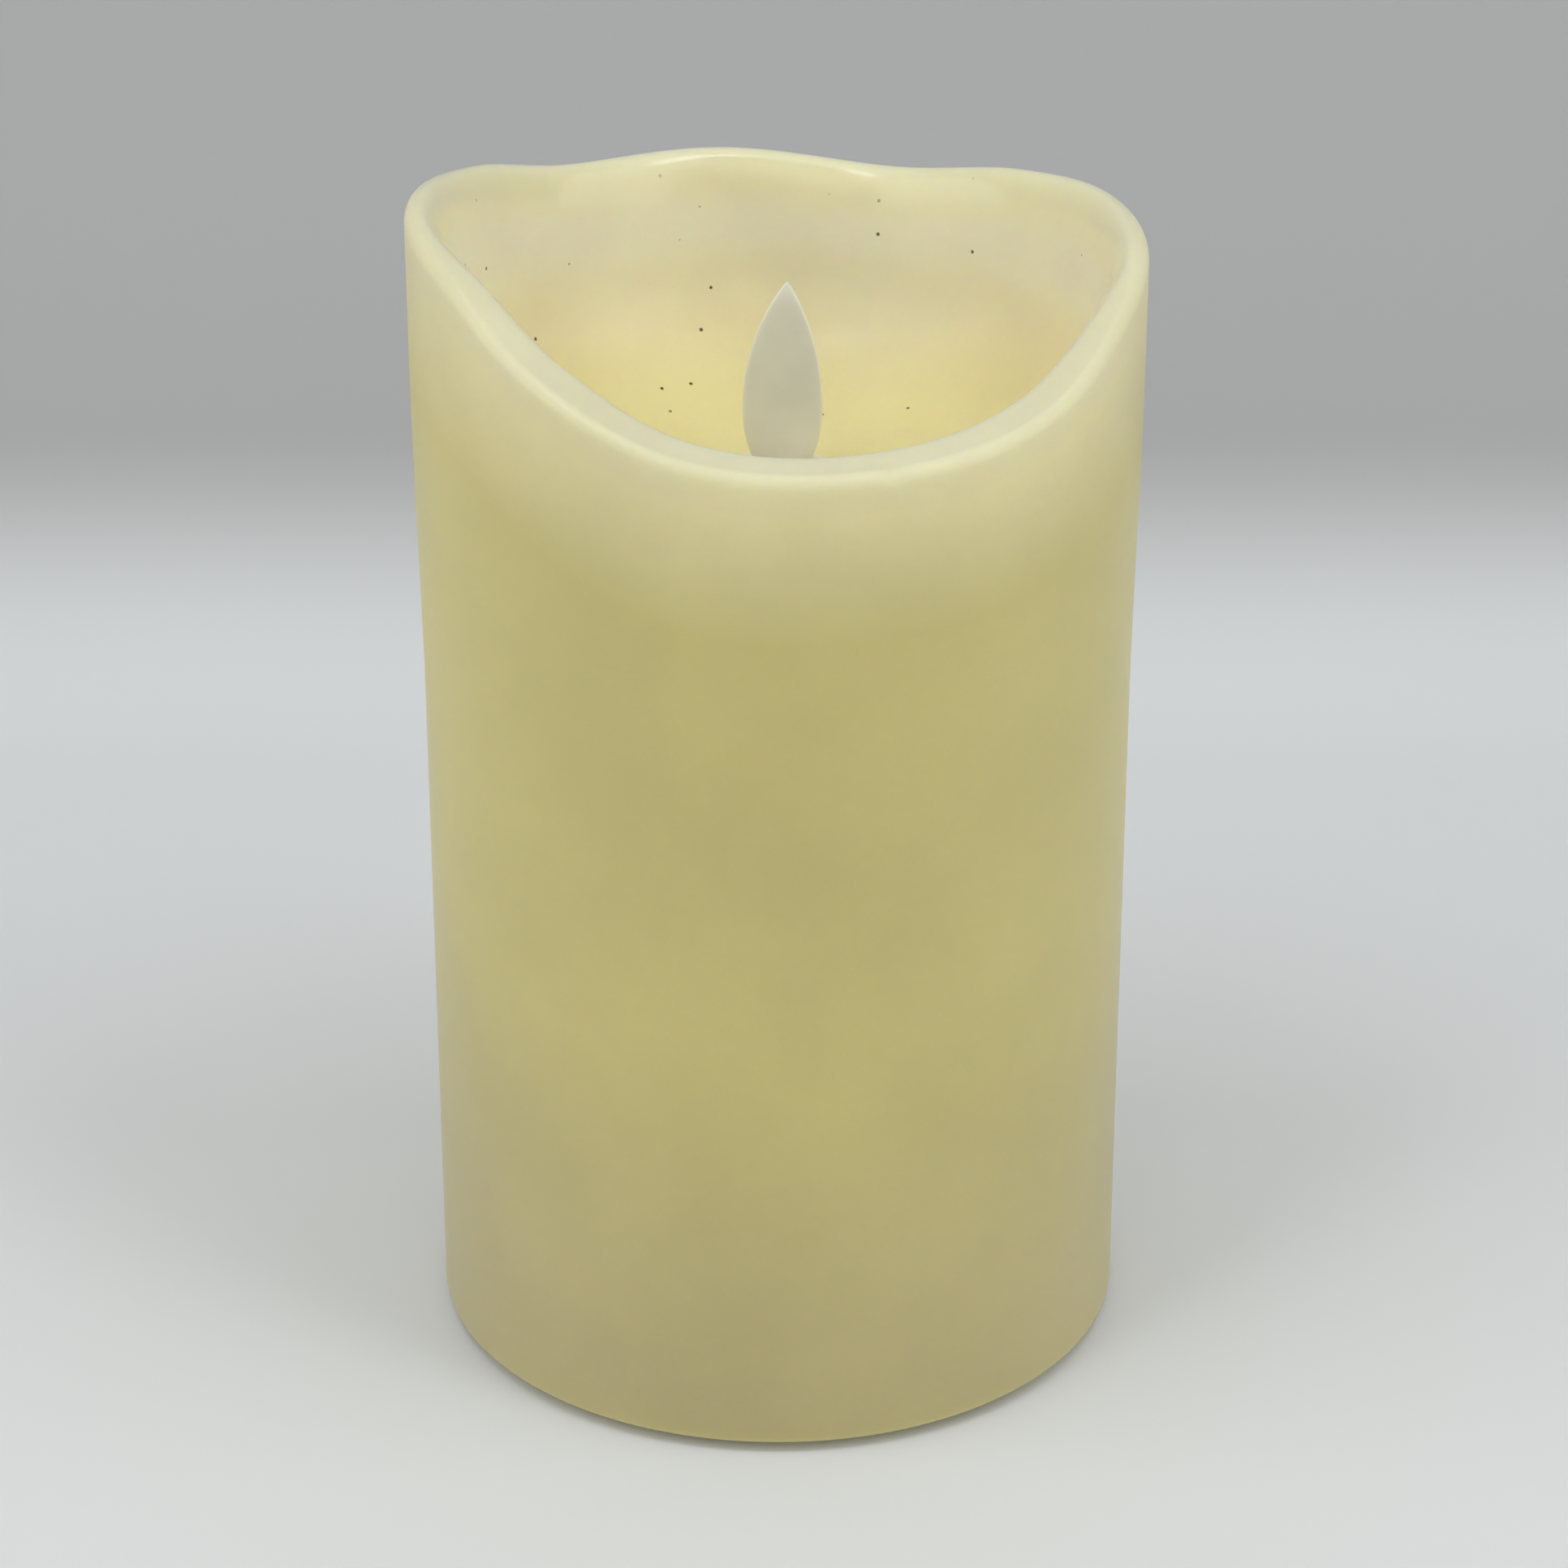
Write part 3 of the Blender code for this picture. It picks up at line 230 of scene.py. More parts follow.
def waves(angles, seed, terms, first=2):
    """A closed random wave round the candle: a sum of cosines whose size falls with their number."""
    chance = np.random.default_rng(seed)
    total = np.zeros_like(angles)
    for number in range(first, first + terms):
        total += chance.normal() / number**1.3 * np.cos(number * angles + chance.uniform(0, 2 * np.pi))
    return total


angle = np.linspace(0, 2 * np.pi, AROUND, endpoint=False)
crest = WAX_TOP - closed_curve(angle, RIM_STATIONS, RIM_DROPS)
crest = crest - BACK_DROP * eased(-0.2, 0.5, np.sin(angle))
crest = np.minimum(crest + CREST_RIPPLE * np.clip(waves(angle, 4, 9, 3), -2, 2), WAX_TOP)
# The low front was cut, so its top is flat with a tight edge on the inside. The sides and the back
# were melted, and roll over into the pool in one long soft curve.
melted = eased(-0.93, -0.1, np.sin(angle))
outer_round = (1.35 + 0.3 * melted + 0.15 * waves(angle, 8, 6)) * MM
soft_depth = (crest - POOL_FLOOR_Z - BOWL_HEIGHT) * 0.92 + ROLL_UNEVEN * waves(angle, 15, 5)
roll_depth = FRONT_ROLL * (1 - melted) + soft_depth * melted
front_lift = FRONT_LIFT * (1 - melted)
roll_power = 2 / (5.0 - 2.9 * melted)
# A small nick in the front edge, bell-shaped across.
nick = NICK_DEPTH * np.exp(-(((angle - 2 * np.pi - NICK_ANGLE) / NICK_HALF_WIDTH) ** 2))


def wax_profile():
    """The wall's section at every angle as (point, angle) arrays of radius, height and part, where
    part runs 0 on the outside, 1 to 2 over the rim, 2 in the pool and 3 in the cavity. It goes from the
    cavity's mouth under the edge, up the outside, round the outer corner by an arc, over the rim by
    a quarter superellipse, down into the pool by a quarter ellipse, across the floor, through the
    collar's hole and down the cavity to the mouth again."""
    ones = np.ones_like(angle)
    radius, height, part = [], [], []

    def add(r, z, where):
        radius.append(r * ones)
        height.append(z * ones)
        part.append(where * ones)

    edge = EDGE_ROUND
    add(CAVITY_RADIUS + 0.3 * MM, WAX_BOTTOM, 3)
    add(WAX_RADIUS - 1.6 * MM, WAX_BOTTOM, 3)
    for lift in np.radians(np.linspace(-90, 0, 7)):
        add(WAX_RADIUS - edge + edge * np.cos(lift), WAX_BOTTOM + edge + edge * np.sin(lift), 0)
    low, high = WAX_BOTTOM + 2 * MM, crest - outer_round - 0.4 * MM
    for share in np.linspace(0, 1, 60):
        z = low + (high - low) * share
        add(WAX_RADIUS + FLARE * eased(72 * MM, 112 * MM, z), z, 0)
    corner_r = WAX_RADIUS + FLARE - outer_round
    for lift in np.radians(np.linspace(0, 90, 14)):
        add(corner_r + outer_round * np.cos(lift) - nick * np.sin(lift),
            crest - outer_round + outer_round * np.sin(lift) - nick * 0.7, lift / np.radians(90))
    for bend in np.radians(np.linspace(0, 90, 26)[1:]):
        inward, fall = np.sin(bend) ** roll_power, 1 - np.cos(bend) ** roll_power
        add(corner_r - (corner_r - INSIDE_RADIUS) * inward,
            crest + front_lift * inward - roll_depth * fall, 1 + bend / np.radians(90))
    wall_top = crest + front_lift - roll_depth
    bowl_top = np.minimum(POOL_FLOOR_Z + BOWL_HEIGHT, wall_top - 0.2 * MM)
    for share in np.linspace(0, 1, 12)[1:]:
        add(INSIDE_RADIUS, wall_top + (bowl_top - wall_top) * share, 2)
    for bend in np.radians(np.linspace(0, 90, 34)[1:]):
        add(INSIDE_RADIUS - BOWL_WIDTH * (1 - np.cos(bend)),
            POOL_FLOOR_Z + (bowl_top - POOL_FLOOR_Z) * (1 - np.sin(bend)), 2)
    floor_out, floor_in = INSIDE_RADIUS - BOWL_WIDTH, COLLAR_HOLE + COLLAR_LIP
    for share in np.linspace(0, 1, 10)[1:]:
        add(floor_out + (floor_in - floor_out) * share, POOL_FLOOR_Z, 2)
    for lift in np.radians(np.linspace(90, 0, 5)[1:]):
        add(COLLAR_HOLE + COLLAR_LIP * (1 - np.cos(lift)),
            POOL_FLOOR_Z - COLLAR_LIP_DEPTH * (1 - np.sin(lift)), 2)
    add(COLLAR_HOLE, CEILING_Z, 3)
    add(CAVITY_RADIUS - CEILING_CORNER, CEILING_Z, 3)
    add(CAVITY_RADIUS, CEILING_Z - CEILING_CORNER, 3)
    add(CAVITY_RADIUS, CEILING_Z * 0.5, 3)
    return np.array(radius), np.array(height), np.array(part)


wax_r, wax_z, wax_part = wax_profile()
# The pour leaves the outside a little uneven, and the melted wall has soft swells, each by less
# than a few tenths of a millimetre.
swell = waves(angle, 21, 10)[None, :] * POUR_SWELL
outside_share = eased(35 * MM, 37.5 * MM, wax_r) * eased(2 * MM, 12 * MM, wax_z - WAX_BOTTOM)
wax_r = wax_r - outside_share * np.abs(swell)
melt_drift = 1.7 * np.sin(3 * angle + 0.8)[None, :]
melt_wave = np.sin(wax_z / MELT_WAVE + melt_drift) * waves(angle, 33, 7)[None, :]
inner_share = (wax_part >= 1) * (wax_part < 3) * eased(-5 * MM, 2 * MM, wax_z - POOL_FLOOR_Z)
inner_share = inner_share * eased(12 * MM, 24 * MM, wax_r) * eased(37.5 * MM, 35.5 * MM, wax_r)
wax_r = wax_r + inner_share * melted[None, :] * np.clip(melt_wave, -2, 2) * MELT_SWELL
wax_points = np.stack([wax_r * np.cos(angle), wax_r * np.sin(angle), wax_z], axis=-1)
wax = grid_mesh("wax_pillar", wax_points[::-1], wrap_u=True, wrap_v=True)


def stored(obj, name, values):
    """Keeps one number for each vertex on the mesh, for its material to read."""
    attribute = obj.data.attributes.new(name, "FLOAT", "POINT")
    attribute.data.foreach_set("value", np.ascontiguousarray(values, dtype=np.float32).ravel())


# How far each point lies below the rim over it, and how far it has gone over the rim to the inside.
stored(wax, "below_rim", (crest[None, :] - wax_z)[::-1])
stored(wax, "inside", eased(1.0, 2.0, wax_part)[::-1])
stored(wax, "over_rim", eased(0.4, 1.1, wax_part)[::-1])


def group(name, inputs, outputs):
    """A shader node group with these inputs, as (name, kind, default), and outputs, as (name, kind)."""
    tree = bpy.data.node_groups.new(name, "ShaderNodeTree")
    kinds = {"value": "NodeSocketFloat", "colour": "NodeSocketColor", "vector": "NodeSocketVector"}
    for label, kind, default in inputs:
        socket = tree.interface.new_socket(label, in_out="INPUT", socket_type=kinds[kind])
        if default is not None:
            socket.default_value = default
    for label, kind in outputs:
        tree.interface.new_socket(label, in_out="OUTPUT", socket_type=kinds[kind])
    return tree


class Nodes:
    """Adds nodes to a tree in one line each."""

    def __init__(self, tree):
        self.tree = tree

    def add(self, kind, settings=None, maker="ShaderNode", **inputs):
        """A node with these settings. Each input is a value or a socket to link, by its name with _
        for a space, or by its number as in_0."""
        node = self.tree.nodes.new(maker + kind)
        for key, value in (settings or {}).items():
            setattr(node, key, value)
        for key, value in inputs.items():
            name = key.replace("_", " ")
            number = int(name[3:]) if name.startswith("in ") else None
            socket = node.inputs[number] if number is not None else node.inputs[name]
            if isinstance(value, bpy.types.NodeSocket):
                self.tree.links.new(value, socket)
            else:
                socket.default_value = value
        return node

    def ramp(self, factor, stops, ease="EASE"):
        """A colour ramp through (place, colour or grey) stops."""
        node = self.tree.nodes.new("ShaderNodeValToRGB")
        node.color_ramp.interpolation = ease
        while len(node.color_ramp.elements) < len(stops):
            node.color_ramp.elements.new(0.5)
        for element, (place, colour) in zip(node.color_ramp.elements, stops):
            element.position = place
            element.color = (*colour, 1) if isinstance(colour, tuple) else (colour, colour, colour, 1)
        self.tree.links.new(factor, node.inputs["Fac"])
        return node.outputs["Color"]

    def math(self, operation, first, second=0.0, clamp=False):
        """The result of one operation on one or two numbers."""
        node = self.add("Math", {"operation": operation, "use_clamp": clamp}, in_0=first, in_1=second)
        return node.outputs["Value"]

    def eased(self, value, low, high, to_low=0.0, to_high=1.0):
        """Maps low..high to to_low..to_high along a smooth step."""
        node = self.add("MapRange", {"interpolation_type": "SMOOTHSTEP"}, Value=value, From_Min=low,
                        From_Max=high, To_Min=to_low, To_Max=to_high)
        return node.outputs["Result"]

    def link(self, value, socket):
        """Links an output to an input."""
        self.tree.links.new(value, socket)

    def cloudy(self, place, scale, detail, deep, pale):
        """A cloudy_shade group between two colours: its shade and its cloud."""
        node = self.add("Group", {"node_tree": CLOUDY_SHADE}, Place=place, Scale=scale, Detail=detail,
                        Deep=(*deep, 1), Pale=(*pale, 1))
        return node.outputs["Shade"], node.outputs["Cloud"]

    def grain_bump(self, shader, place, scale, strength, distance, swell_scale=60.0, swell_share=0.0):
        """Gives the shader a bump from a fine_grain group."""
        grain = self.add("Group", {"node_tree": FINE_GRAIN}, Place=place, Grain_Scale=scale,
                         Swell_Scale=swell_scale, Swell_Share=swell_share)
        bump = self.add("Bump", Height=grain.outputs["Height"], Strength=strength, Distance=distance)
        self.link(bump.outputs["Normal"], shader.inputs["Normal"])

    def mix(self, factor, first, second, blend="MIX"):
        """The first colour blended with the second by a factor."""
        settings = {"data_type": "RGBA", "blend_type": blend}
        node = self.add("Mix", settings, in_0=factor, in_6=first, in_7=second)
        return node.outputs[2]


def cloudy_shade():
    """The group that drifts between two colours over the surface: smooth noise, eased from the deep
    colour to the pale one. It also puts out the cloud itself, 0 to 1."""
    tree = group("cloudy_shade", [
        ("Place", "vector", None), ("Scale", "value", 60.0), ("Detail", "value", 3.0),
        ("Deep", "colour", (0.5, 0.5, 0.5, 1)), ("Pale", "colour", (0.6, 0.6, 0.6, 1)),
    ], [("Shade", "colour"), ("Cloud", "value")])
    nodes = Nodes(tree)
    given = nodes.add("GroupInput", maker="Node").outputs
    noise = nodes.add("TexNoise", Vector=given["Place"], Scale=given["Scale"], Detail=given["Detail"],
                      Roughness=0.55)
    cloud = nodes.eased(noise.outputs["Fac"], 0.32, 0.69)
    shade = nodes.mix(cloud, given["Deep"], given["Pale"])
    result = nodes.add("GroupOutput", maker="Node")
    tree.links.new(shade, result.inputs["Shade"])
    tree.links.new(cloud, result.inputs["Cloud"])
    return tree


def fine_grain():
    """The group for a fine surface: small noise riding on a share of larger swells, as a height."""
    tree = group("fine_grain", [
        ("Place", "vector", None), ("Grain Scale", "value", 1500.0), ("Swell Scale", "value", 60.0),
        ("Swell Share", "value", 0.0),
    ], [("Height", "value")])
    nodes = Nodes(tree)
    given = nodes.add("GroupInput", maker="Node").outputs
    place = given["Place"]
    grain = nodes.add("TexNoise", Vector=place, Scale=given["Grain Scale"], Detail=3.0, Roughness=0.6)
    swells = nodes.add("TexNoise", Vector=place, Scale=given["Swell Scale"], Detail=2.0, Roughness=0.5)
    raised = nodes.math("MULTIPLY", swells.outputs["Fac"], given["Swell Share"])
    result = nodes.add("GroupOutput", maker="Node")
    tree.links.new(nodes.math("ADD", grain.outputs["Fac"], raised), result.inputs["Height"])
    return tree


CLOUDY_SHADE = cloudy_shade()
FINE_GRAIN = fine_grain()


def new_material(name, roughness):
    """An empty node material: its Nodes helper, its Principled shader and its Object coordinates."""
    material = plain_material(name, (0.8, 0.8, 0.8), roughness)
    nodes = Nodes(material.node_tree)
    place = nodes.add("TexCoord").outputs["Object"]
    return material, nodes, material.node_tree.nodes["Principled BSDF"], place


# The rim and top band colours are painted light, and the foot colour is painted shade, on one wax.
WAX_RIM_PAINTED_LIGHT = (0.76, 0.74, 0.52)
WAX_TOP_BAND_PAINTED_LIGHT = (0.81, 0.76, 0.43)
WAX_BODY = (0.665, 0.592, 0.252)
WAX_FOOT_PAINTED_SHADE = (0.57, 0.50, 0.255)
# Painted light: the inner colours are paler and brighter than the body's, for the lit pool.
WAX_INNER_HIGH_PAINTED_LIGHT = (0.83, 0.82, 0.70)
WAX_INNER_LOW_PAINTED_LIGHT = (0.86, 0.77, 0.39)
SPECK_BROWN = (0.09, 0.07, 0.03)
SPECKS_PER_METRE = 300.0
SPECK_SHARE = 0.8
SHADE_DEPTH = 128 * MM


def wax_material():
    """Ivory wax: paler along the rim, deeper in the body and the pool, with faint clouds, shallow
    swells in its surface and a few dark specks in the pool. Its pale rim and top band and its bright
    pool are painted light, and its darker foot is painted shade."""
    material, nodes, shader, place = new_material("ivory_wax", 0.36)
    shader.inputs["Subsurface Weight"].default_value = 1.0
    shader.inputs["Subsurface Radius"].default_value = (1.0, 0.72, 0.30)
    shader.inputs["Subsurface Scale"].default_value = 0.005
    shader.inputs["IOR"].default_value = 1.43
    shader.inputs["Specular IOR Level"].default_value = 0.5
    soft, cloud = nodes.cloudy(place, 38.0, 4.0, (0.955, 0.955, 0.955), (1.03, 1.03, 1.03))
    below = nodes.add("Attribute", {"attribute_name": "below_rim"}).outputs["Fac"]
    inside = nodes.add("Attribute", {"attribute_name": "inside"}).outputs["Fac"]
    depth = nodes.math("DIVIDE", below, SHADE_DEPTH, clamp=True)
    # Down the outside, painted light pales the rim and the band under it, and painted shade darkens the
    # foot.
    outer = nodes.ramp(depth, [
        (0.0, WAX_RIM_PAINTED_LIGHT), (0.035, WAX_TOP_BAND_PAINTED_LIGHT), (0.14, WAX_BODY), (0.55, WAX_BODY), (0.82, WAX_FOOT_PAINTED_SHADE),
    ], "LINEAR")
    # Inside, painted light makes the wax paler under the rim and brighter in the pool than on the body.
    inner = nodes.ramp(depth, [(0.0, WAX_RIM_PAINTED_LIGHT), (0.05, WAX_INNER_HIGH_PAINTED_LIGHT), (0.20, WAX_INNER_LOW_PAINTED_LIGHT)])
    colour = nodes.mix(inside, outer, inner)
    colour = nodes.mix(1.0, colour, soft, "MULTIPLY")
    # A speck is the middle of a cell of a Voronoi pattern, in most of the cells.
    cells = nodes.add("TexVoronoi", {"feature": "F1"}, Vector=place, Scale=SPECKS_PER_METRE, Randomness=1.0)
    near = nodes.ramp(cells.outputs["Distance"], [(0.05, 1.0), (0.075, 0.0)], "LINEAR")
    chosen = nodes.add("SeparateXYZ", Vector=cells.outputs["Color"]).outputs["X"]
    kept = nodes.math("LESS_THAN", chosen, SPECK_SHARE)
    speck = nodes.math("MULTIPLY", nodes.math("MULTIPLY", near, kept), inside)
    colour = nodes.mix(speck, colour, (*SPECK_BROWN, 1))
    nodes.link(colour, shader.inputs["Base Color"])
    nodes.grain_bump(shader, place, 420.0, 0.30, 0.00005, 55.0, 10.0)
    # The melted rim is glossier than the poured sides, with a clear skin that takes small highlights.
    satin = nodes.eased(cloud, 0.0, 1.0, 0.31, 0.40)
    melt_gloss = nodes.ramp(depth, [(0.0, 0.21), (0.20, 0.42)])
    gloss = nodes.math("MINIMUM", nodes.math("ADD", melt_gloss, nodes.math("SUBTRACT", 1.0, inside)), satin)
    nodes.link(gloss, shader.inputs["Roughness"])
    shader.inputs["Coat Roughness"].default_value = 0.14
    shader.inputs["Coat IOR"].default_value = 1.45
    skin = nodes.ramp(depth, [(0.0, 0.9), (0.06, 0.7), (0.13, 0.0)])
    over_rim = nodes.add("Attribute", {"attribute_name": "over_rim"}).outputs["Fac"]
    nodes.link(nodes.math("MULTIPLY", skin, over_rim), shader.inputs["Coat Weight"])
    return material


wax.data.materials.append(wax_material())
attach(wax, "candle_body")
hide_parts("wax_shell")


# Moulded plastics. The base, its battery door, the core's halves and the coil's bobbin come out of
# spark-eroded moulds in ivory plastic. The switch's knob, the chip and the transistor are black.
# All have a fine, even matte texture.


def carry(material, nodes_of_cad):
    """Puts a material on these CAD nodes."""
    for label in nodes_of_cad:
        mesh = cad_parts[label].data
        mesh.materials.clear()
        mesh.materials.append(material)


def moulded_plastic(name, pale, deep, roughness, texture=0.00004, scale=1500.0):
    """Moulded plastic: a fine eroded texture and a slow change of shade between two colours."""
    material, nodes, shader, place = new_material(name, roughness)
    shade, cloud = nodes.cloudy(place, 60.0, 3.0, deep, pale)
    nodes.link(shade, shader.inputs["Base Color"])
    nodes.grain_bump(shader, place, scale, 0.5, texture)
    nodes.link(nodes.eased(cloud, 0.0, 1.0, roughness - 0.05, roughness + 0.07), shader.inputs["Roughness"])
    return material


carry(moulded_plastic("ivory_plastic", (0.74, 0.70, 0.54), (0.70, 0.655, 0.49), 0.5),
      ["base_housing", "battery_door"])
carry(moulded_plastic("core_plastic", (0.86, 0.82, 0.60), (0.82, 0.77, 0.54), 0.42),
      ["core_front", "core_back", "coil_bobbin"])
carry(moulded_plastic("black_plastic", (0.035, 0.035, 0.036), (0.022, 0.022, 0.023), 0.46),
      ["switch_knob", "control_chip", "transistor"])


# The flame leaf is moulded in frosted, translucent white plastic. It is a pointed leaf a little
# over a millimetre thick that swells towards its middle line, with a tail below the eye it swings on.

PIVOT_X, PIVOT_Z = 0.5 * MM, 90.7 * MM
LEAF_TIP = 28.75 * MM
LEAF_WIDEST = LEAF_TIP - 13.9 * MM
LEAF_HALF_WIDTH = 4.25 * MM
LEAF_LOWER = 8.4 * MM
LEAF_NECK = 2.25 * MM
LEAF_HALF_DEPTH = 0.64 * MM
LEAF_EDGE = 0.2 * MM
TIP_SHIFT = 0.5 * MM
EYE_RADIUS = 3.0 * MM
EYE_HOLE = 0.75 * MM
TAIL_HALF_WIDTH = 1.6 * MM
TAIL_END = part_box("flame_leaf")[0].z - PIVOT_Z
SHOE_HALF_WIDTH = 2.5 * MM
BLADE_BOTTOM_Z = 98 * MM
BLADE_SHADE_HEIGHT = 21.5 * MM
# Painted light: the pale colour given to the leaf's thin edge.
LEAF_EDGE_PAINTED_LIGHT = (0.92, 0.90, 0.74)


def leaf_half_width(z):
    """Half the leaf's width at a height over its pivot. Above the widest point it follows the sine
    of a power of the way down from the tip, and below that an ellipse that runs out in the neck.
    Round the pivot it is the eye's circle, and under that the straight tail with its wider shoe."""
    down = np.clip((LEAF_TIP - z) / (LEAF_TIP - LEAF_WIDEST), 0, 1)
    upper = LEAF_HALF_WIDTH * np.sin(np.pi / 2 * down**0.83)
    lower = LEAF_HALF_WIDTH * np.sqrt(np.clip(1 - ((LEAF_WIDEST - z) / LEAF_LOWER) ** 2, 0, 1))
    blade = np.where(z > LEAF_WIDEST, upper, np.maximum(lower, LEAF_NECK) * (z > EYE_RADIUS))
    eye = np.sqrt(np.clip(EYE_RADIUS**2 - z**2, 0, None))
    shoe = eased(TAIL_END + 4 * MM, TAIL_END + 2 * MM, z)
    tail = (TAIL_HALF_WIDTH + (SHOE_HALF_WIDTH - TAIL_HALF_WIDTH) * shoe) * (z < LEAF_WIDEST)
    return np.maximum(np.maximum(blade, eye), tail)


# The leaf's section at each height is a flattened superellipse. It is thickest on the middle line
# and thins to a rounded edge, and the blade is fuller at its widest place than at its tip.
steps = np.linspace(0, 1, 221)
leaf_z = np.concatenate([
    LEAF_TIP - (LEAF_TIP - LEAF_WIDEST) * steps**1.6,
    np.linspace(LEAF_WIDEST, TAIL_END, 180)[1:],
])
half_width = np.maximum(leaf_half_width(leaf_z), 0.02 * MM)[:, None]
round_leaf = np.linspace(0, 2 * np.pi, 72, endpoint=False)[None, :]
bulge = LEAF_EDGE + (LEAF_HALF_DEPTH - LEAF_EDGE) * eased(0, 3 * MM, half_width[:, 0])[:, None]
reach_x = np.sign(np.cos(round_leaf)) * np.abs(np.cos(round_leaf)) ** 0.9
up_blade = np.clip((leaf_z[:, None] - LEAF_WIDEST) / (LEAF_TIP - LEAF_WIDEST), 0, 1)
leaf_x = half_width * reach_x + TIP_SHIFT * up_blade**2
leaf_y = bulge * np.sign(np.sin(round_leaf)) * np.abs(np.sin(round_leaf)) ** 0.72
leaf_points = np.stack(np.broadcast_arrays(PIVOT_X + leaf_x, leaf_y, PIVOT_Z + leaf_z[:, None]), axis=-1)


def merged(obj):
    """Joins the object's doubled points and turns its faces out."""
    shape = bmesh.new()
    shape.from_mesh(obj.data)
    bmesh.ops.remove_doubles(shape, verts=shape.verts, dist=0.001 * MM)
    bmesh.ops.dissolve_degenerate(shape, edges=shape.edges, dist=0.0001 * MM)
    bmesh.ops.recalc_face_normals(shape, faces=shape.faces)
    shape.to_mesh(obj.data)
    shape.free()
    obj.data.shade_smooth()
    return obj


def closed_tube(name, points):
    """A closed tube from rings of points, shape (ring, point, 3). Each end is drawn in to its middle."""
    first, last = points[:1].mean(axis=1, keepdims=True), points[-1:].mean(axis=1, keepdims=True)
    ends = [np.broadcast_to(middle, points[:1].shape) for middle in (first, last)]
    return merged(grid_mesh(name, np.concatenate([ends[0], points, ends[1]]), wrap_v=True))


def cut_out(obj, cutter):
    """Cuts one closed object out of another with an exact Boolean, and removes the cutter."""
    modifier = obj.modifiers.new("cut", "BOOLEAN")
    modifier.operation = "DIFFERENCE"
    modifier.solver = "EXACT"
    modifier.object = cutter
    graph = bpy.context.evaluated_depsgraph_get()
    mesh = bpy.data.meshes.new_from_object(obj.evaluated_get(graph))
    obj.modifiers.clear()
    obj.data = mesh
    bpy.data.objects.remove(cutter)
    return obj


leaf = closed_tube("flame_blade", leaf_points)
hole_turn = np.linspace(0, 2 * np.pi, 40, endpoint=False)[None, :]
hole_y = np.array([-2.0, 2.0])[:, None] * MM
leaf = cut_out(leaf, closed_tube("eye_cutter", np.stack(np.broadcast_arrays(
    PIVOT_X + EYE_HOLE * np.cos(hole_turn), hole_y, PIVOT_Z + EYE_HOLE * np.sin(hole_turn)), axis=-1)))
leaf.data.set_sharp_from_angle(angle=np.radians(40))

leaf_material, leaf_nodes, leaf_shader, leaf_place = new_material("flame_white", 0.40)
leaf_shader.inputs["Subsurface Weight"].default_value = 0.6
leaf_shader.inputs["Subsurface Radius"].default_value = (1.0, 0.95, 0.85)
leaf_shader.inputs["Subsurface Scale"].default_value = 0.001
leaf_shader.inputs["Specular IOR Level"].default_value = 0.35
leaf_soft, leaf_cloud = leaf_nodes.cloudy(leaf_place, 120.0, 3.0, (0.96, 0.96, 0.96), (1.03, 1.03, 1.03))
leaf_split = leaf_nodes.add("SeparateXYZ", Vector=leaf_place)
leaf_up = leaf_nodes.math("SUBTRACT", leaf_split.outputs["Z"], BLADE_BOTTOM_Z)
leaf_up = leaf_nodes.math("DIVIDE", leaf_up, BLADE_SHADE_HEIGHT, clamp=True)
# Painted light and shade: the plastic is painted greyest in the middle of the blade as shade, and paler
# along its thin edge, at its tip and a little at its foot as light.
leaf_thickness = leaf_nodes.math("ABSOLUTE", leaf_split.outputs["Y"])
leaf_thickness = leaf_nodes.math("DIVIDE", leaf_thickness, LEAF_HALF_DEPTH, clamp=True)
leaf_thin_edge_light = leaf_nodes.ramp(leaf_thickness, [(0.22, 1.0), (0.50, 0.0)])
leaf_painted_shade_and_light = leaf_nodes.ramp(leaf_up, [
    (0.0, (0.84, 0.82, 0.72)), (0.45, (0.76, 0.75, 0.66)),
    (0.85, (0.76, 0.75, 0.65)), (1.0, (0.86, 0.85, 0.78)),
])
leaf_colour = leaf_nodes.mix(leaf_thin_edge_light, leaf_painted_shade_and_light, (*LEAF_EDGE_PAINTED_LIGHT, 1))
leaf_colour = leaf_nodes.mix(1.0, leaf_colour, leaf_soft, "MULTIPLY")
leaf_nodes.link(leaf_colour, leaf_shader.inputs["Base Color"])
leaf_nodes.link(leaf_nodes.eased(leaf_cloud, 0.0, 1.0, 0.36, 0.44), leaf_shader.inputs["Roughness"])
leaf_nodes.grain_bump(leaf_shader, leaf_place, 1600.0, 0.4, 0.00003)
leaf.data.materials.clear()
leaf.data.materials.append(leaf_material)
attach(leaf, "flame")
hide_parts("flame_leaf")


# Metal pieces. The screws, springs, pivot wire, coil's pin and switch case are zinc-plated steel,
# the stamped contacts and the magnet are nickel-plated, and the coil is wound of enamelled copper.


def plated_metal(name, bright, dull, roughness, scale=300.0):
    """Plated metal: a cloudy change between two tones and faint scuffs in its gloss."""
    material, nodes, shader, place = new_material(name, roughness)
    shader.inputs["Metallic"].default_value = 1.0
    shade, cloud = nodes.cloudy(place, scale, 5.0, dull, bright)
    nodes.link(shade, shader.inputs["Base Color"])
    nodes.link(nodes.eased(cloud, 0.0, 1.0, roughness + 0.12, roughness - 0.04), shader.inputs["Roughness"])
    nodes.grain_bump(shader, place, 900.0, 0.25, 0.00002)
    return material


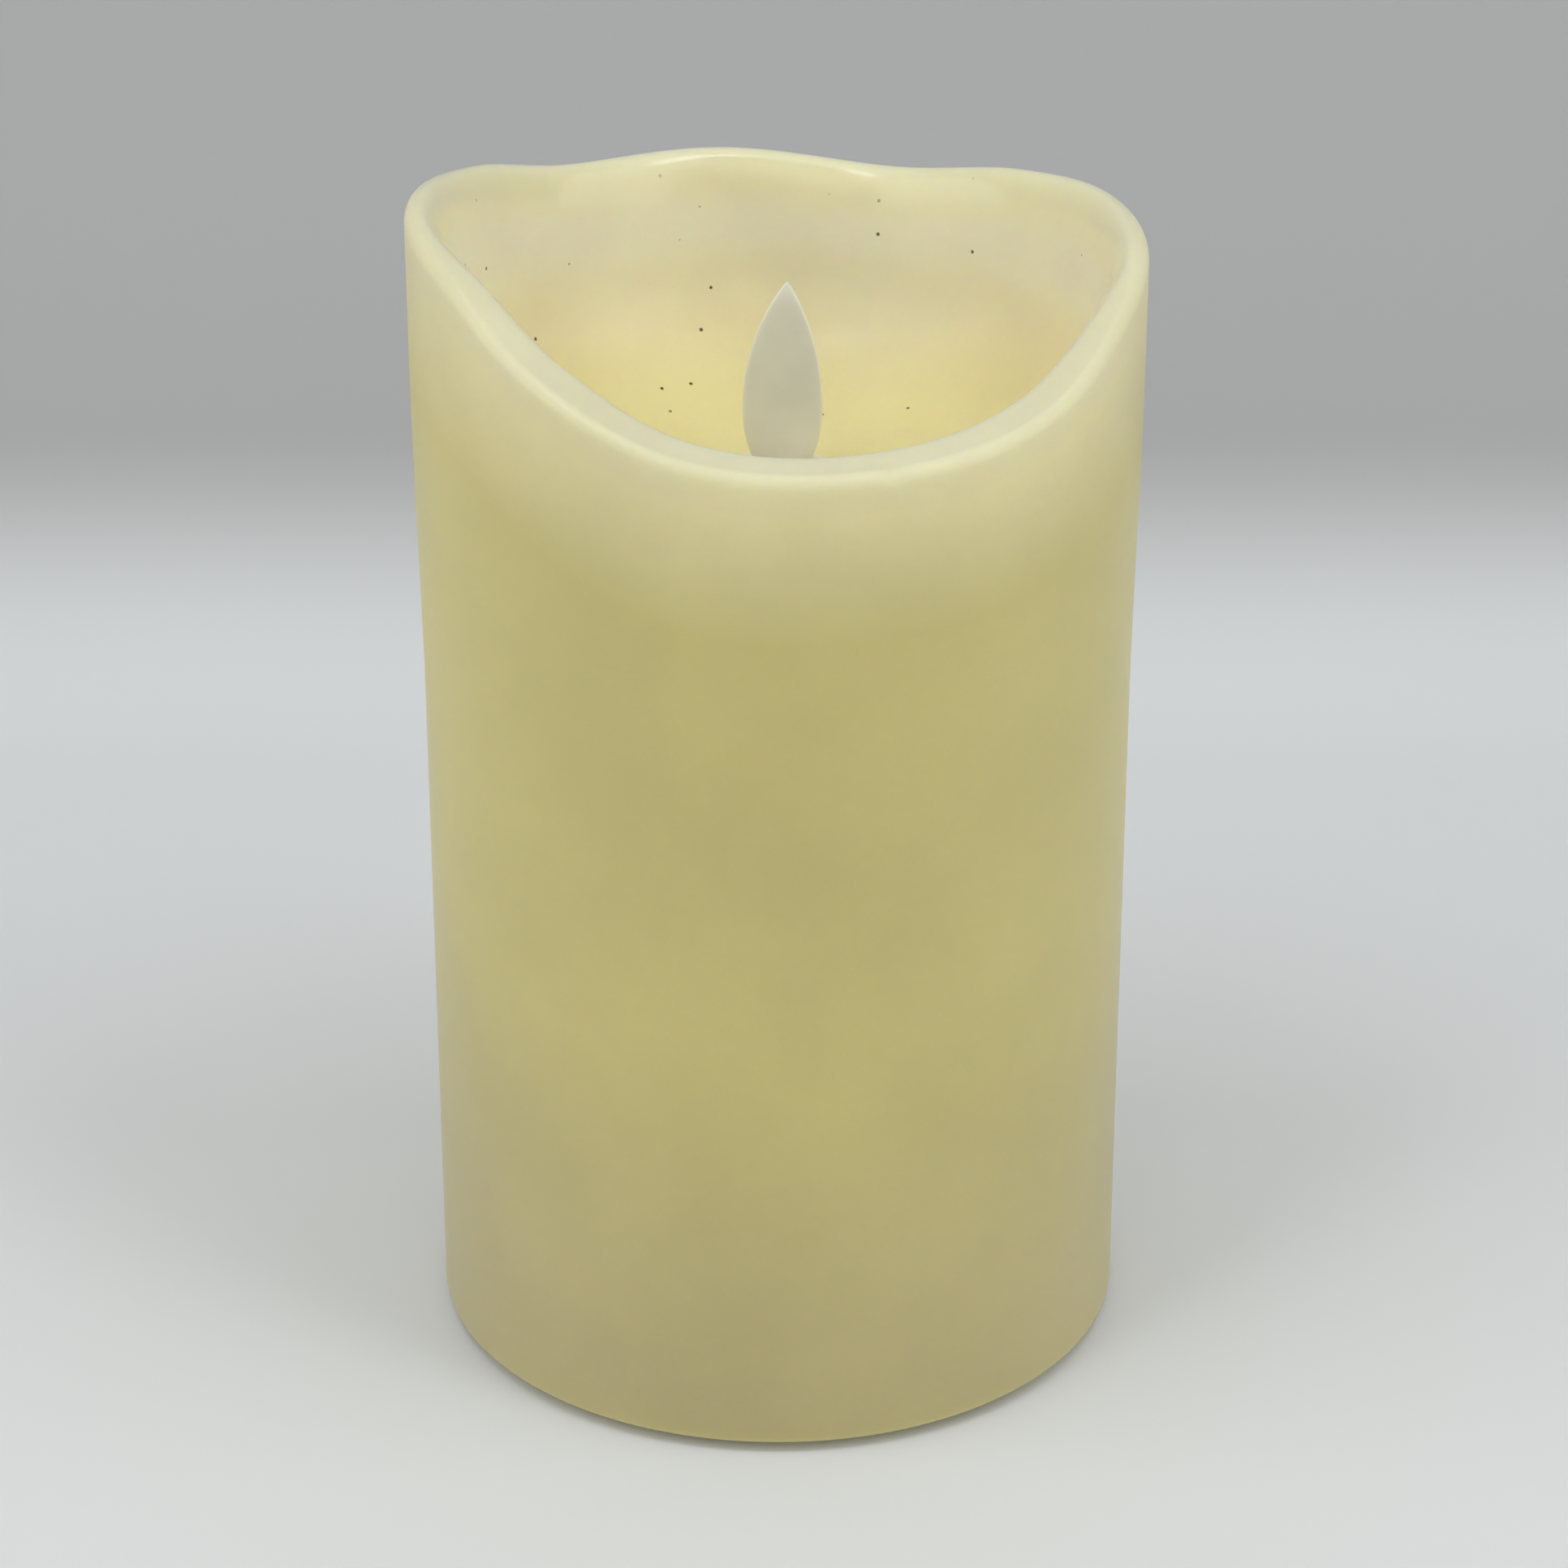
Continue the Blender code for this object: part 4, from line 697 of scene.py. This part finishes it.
carry(plated_metal("zinc_steel", (0.66, 0.66, 0.65), (0.52, 0.53, 0.54), 0.28),
      ["pivot_wire", "spring_bridge", "spring_negative", "switch_body", "coil_pin", "board_screw_1",
       "board_screw_2", "base_screw_1", "base_screw_2", "base_screw_3", "base_screw_4", "core_screw_1",
       "core_screw_2"])
carry(plated_metal("nickel_plate", (0.74, 0.71, 0.65), (0.60, 0.57, 0.52), 0.22),
      ["contact_positive", "contact_negative", "contact_bridge"])
carry(plated_metal("magnet_nickel", (0.66, 0.65, 0.64), (0.55, 0.54, 0.53), 0.16), ["flame_magnet"])
carry(plated_metal("enamelled_copper", (0.66, 0.30, 0.13), (0.48, 0.19, 0.07), 0.30),
      ["coil_winding", "coil_lead_start", "coil_lead_end"])


# Electrical pieces. The board is coated with green lacquer, and its resistors are coated chips. The
# capacitor and the cells are in shrink sleeves, the LED is cast in clear resin, and the leads are
# covered in PVC.


def coated(name, pale, deep, roughness, scale=200.0):
    """A smooth coat such as lacquer, shrink sleeve or PVC, with a slow change of shade."""
    material, nodes, shader, place = new_material(name, roughness)
    shade, cloud = nodes.cloudy(place, scale, 3.0, deep, pale)
    nodes.link(shade, shader.inputs["Base Color"])
    nodes.link(nodes.eased(cloud, 0.0, 1.0, roughness + 0.05, roughness - 0.03), shader.inputs["Roughness"])
    nodes.grain_bump(shader, place, 700.0, 0.25, 0.00003)
    return material


carry(coated("board_green", (0.05, 0.24, 0.09), (0.03, 0.17, 0.06), 0.32), ["circuit_board"])
carry(coated("capacitor_sleeve", (0.05, 0.07, 0.21), (0.03, 0.045, 0.15), 0.30), ["capacitor"])
carry(coated("resistor_body", (0.12, 0.11, 0.10), (0.07, 0.06, 0.055), 0.5), ["resistor_1", "resistor_2"])
carry(coated("battery_jacket", (0.18, 0.20, 0.22), (0.13, 0.145, 0.165), 0.30),
      ["battery_cell_1", "battery_cell_2"])
carry(coated("led_lens", (0.88, 0.86, 0.70), (0.80, 0.78, 0.62), 0.12), ["led"])
carry(coated("red_insulation", (0.56, 0.035, 0.03), (0.44, 0.02, 0.02), 0.40),
      ["lead_positive", "lead_switched", "lead_led_plus"])
carry(coated("black_insulation", (0.026, 0.026, 0.026), (0.016, 0.016, 0.017), 0.42),
      ["lead_negative", "lead_led_minus"])
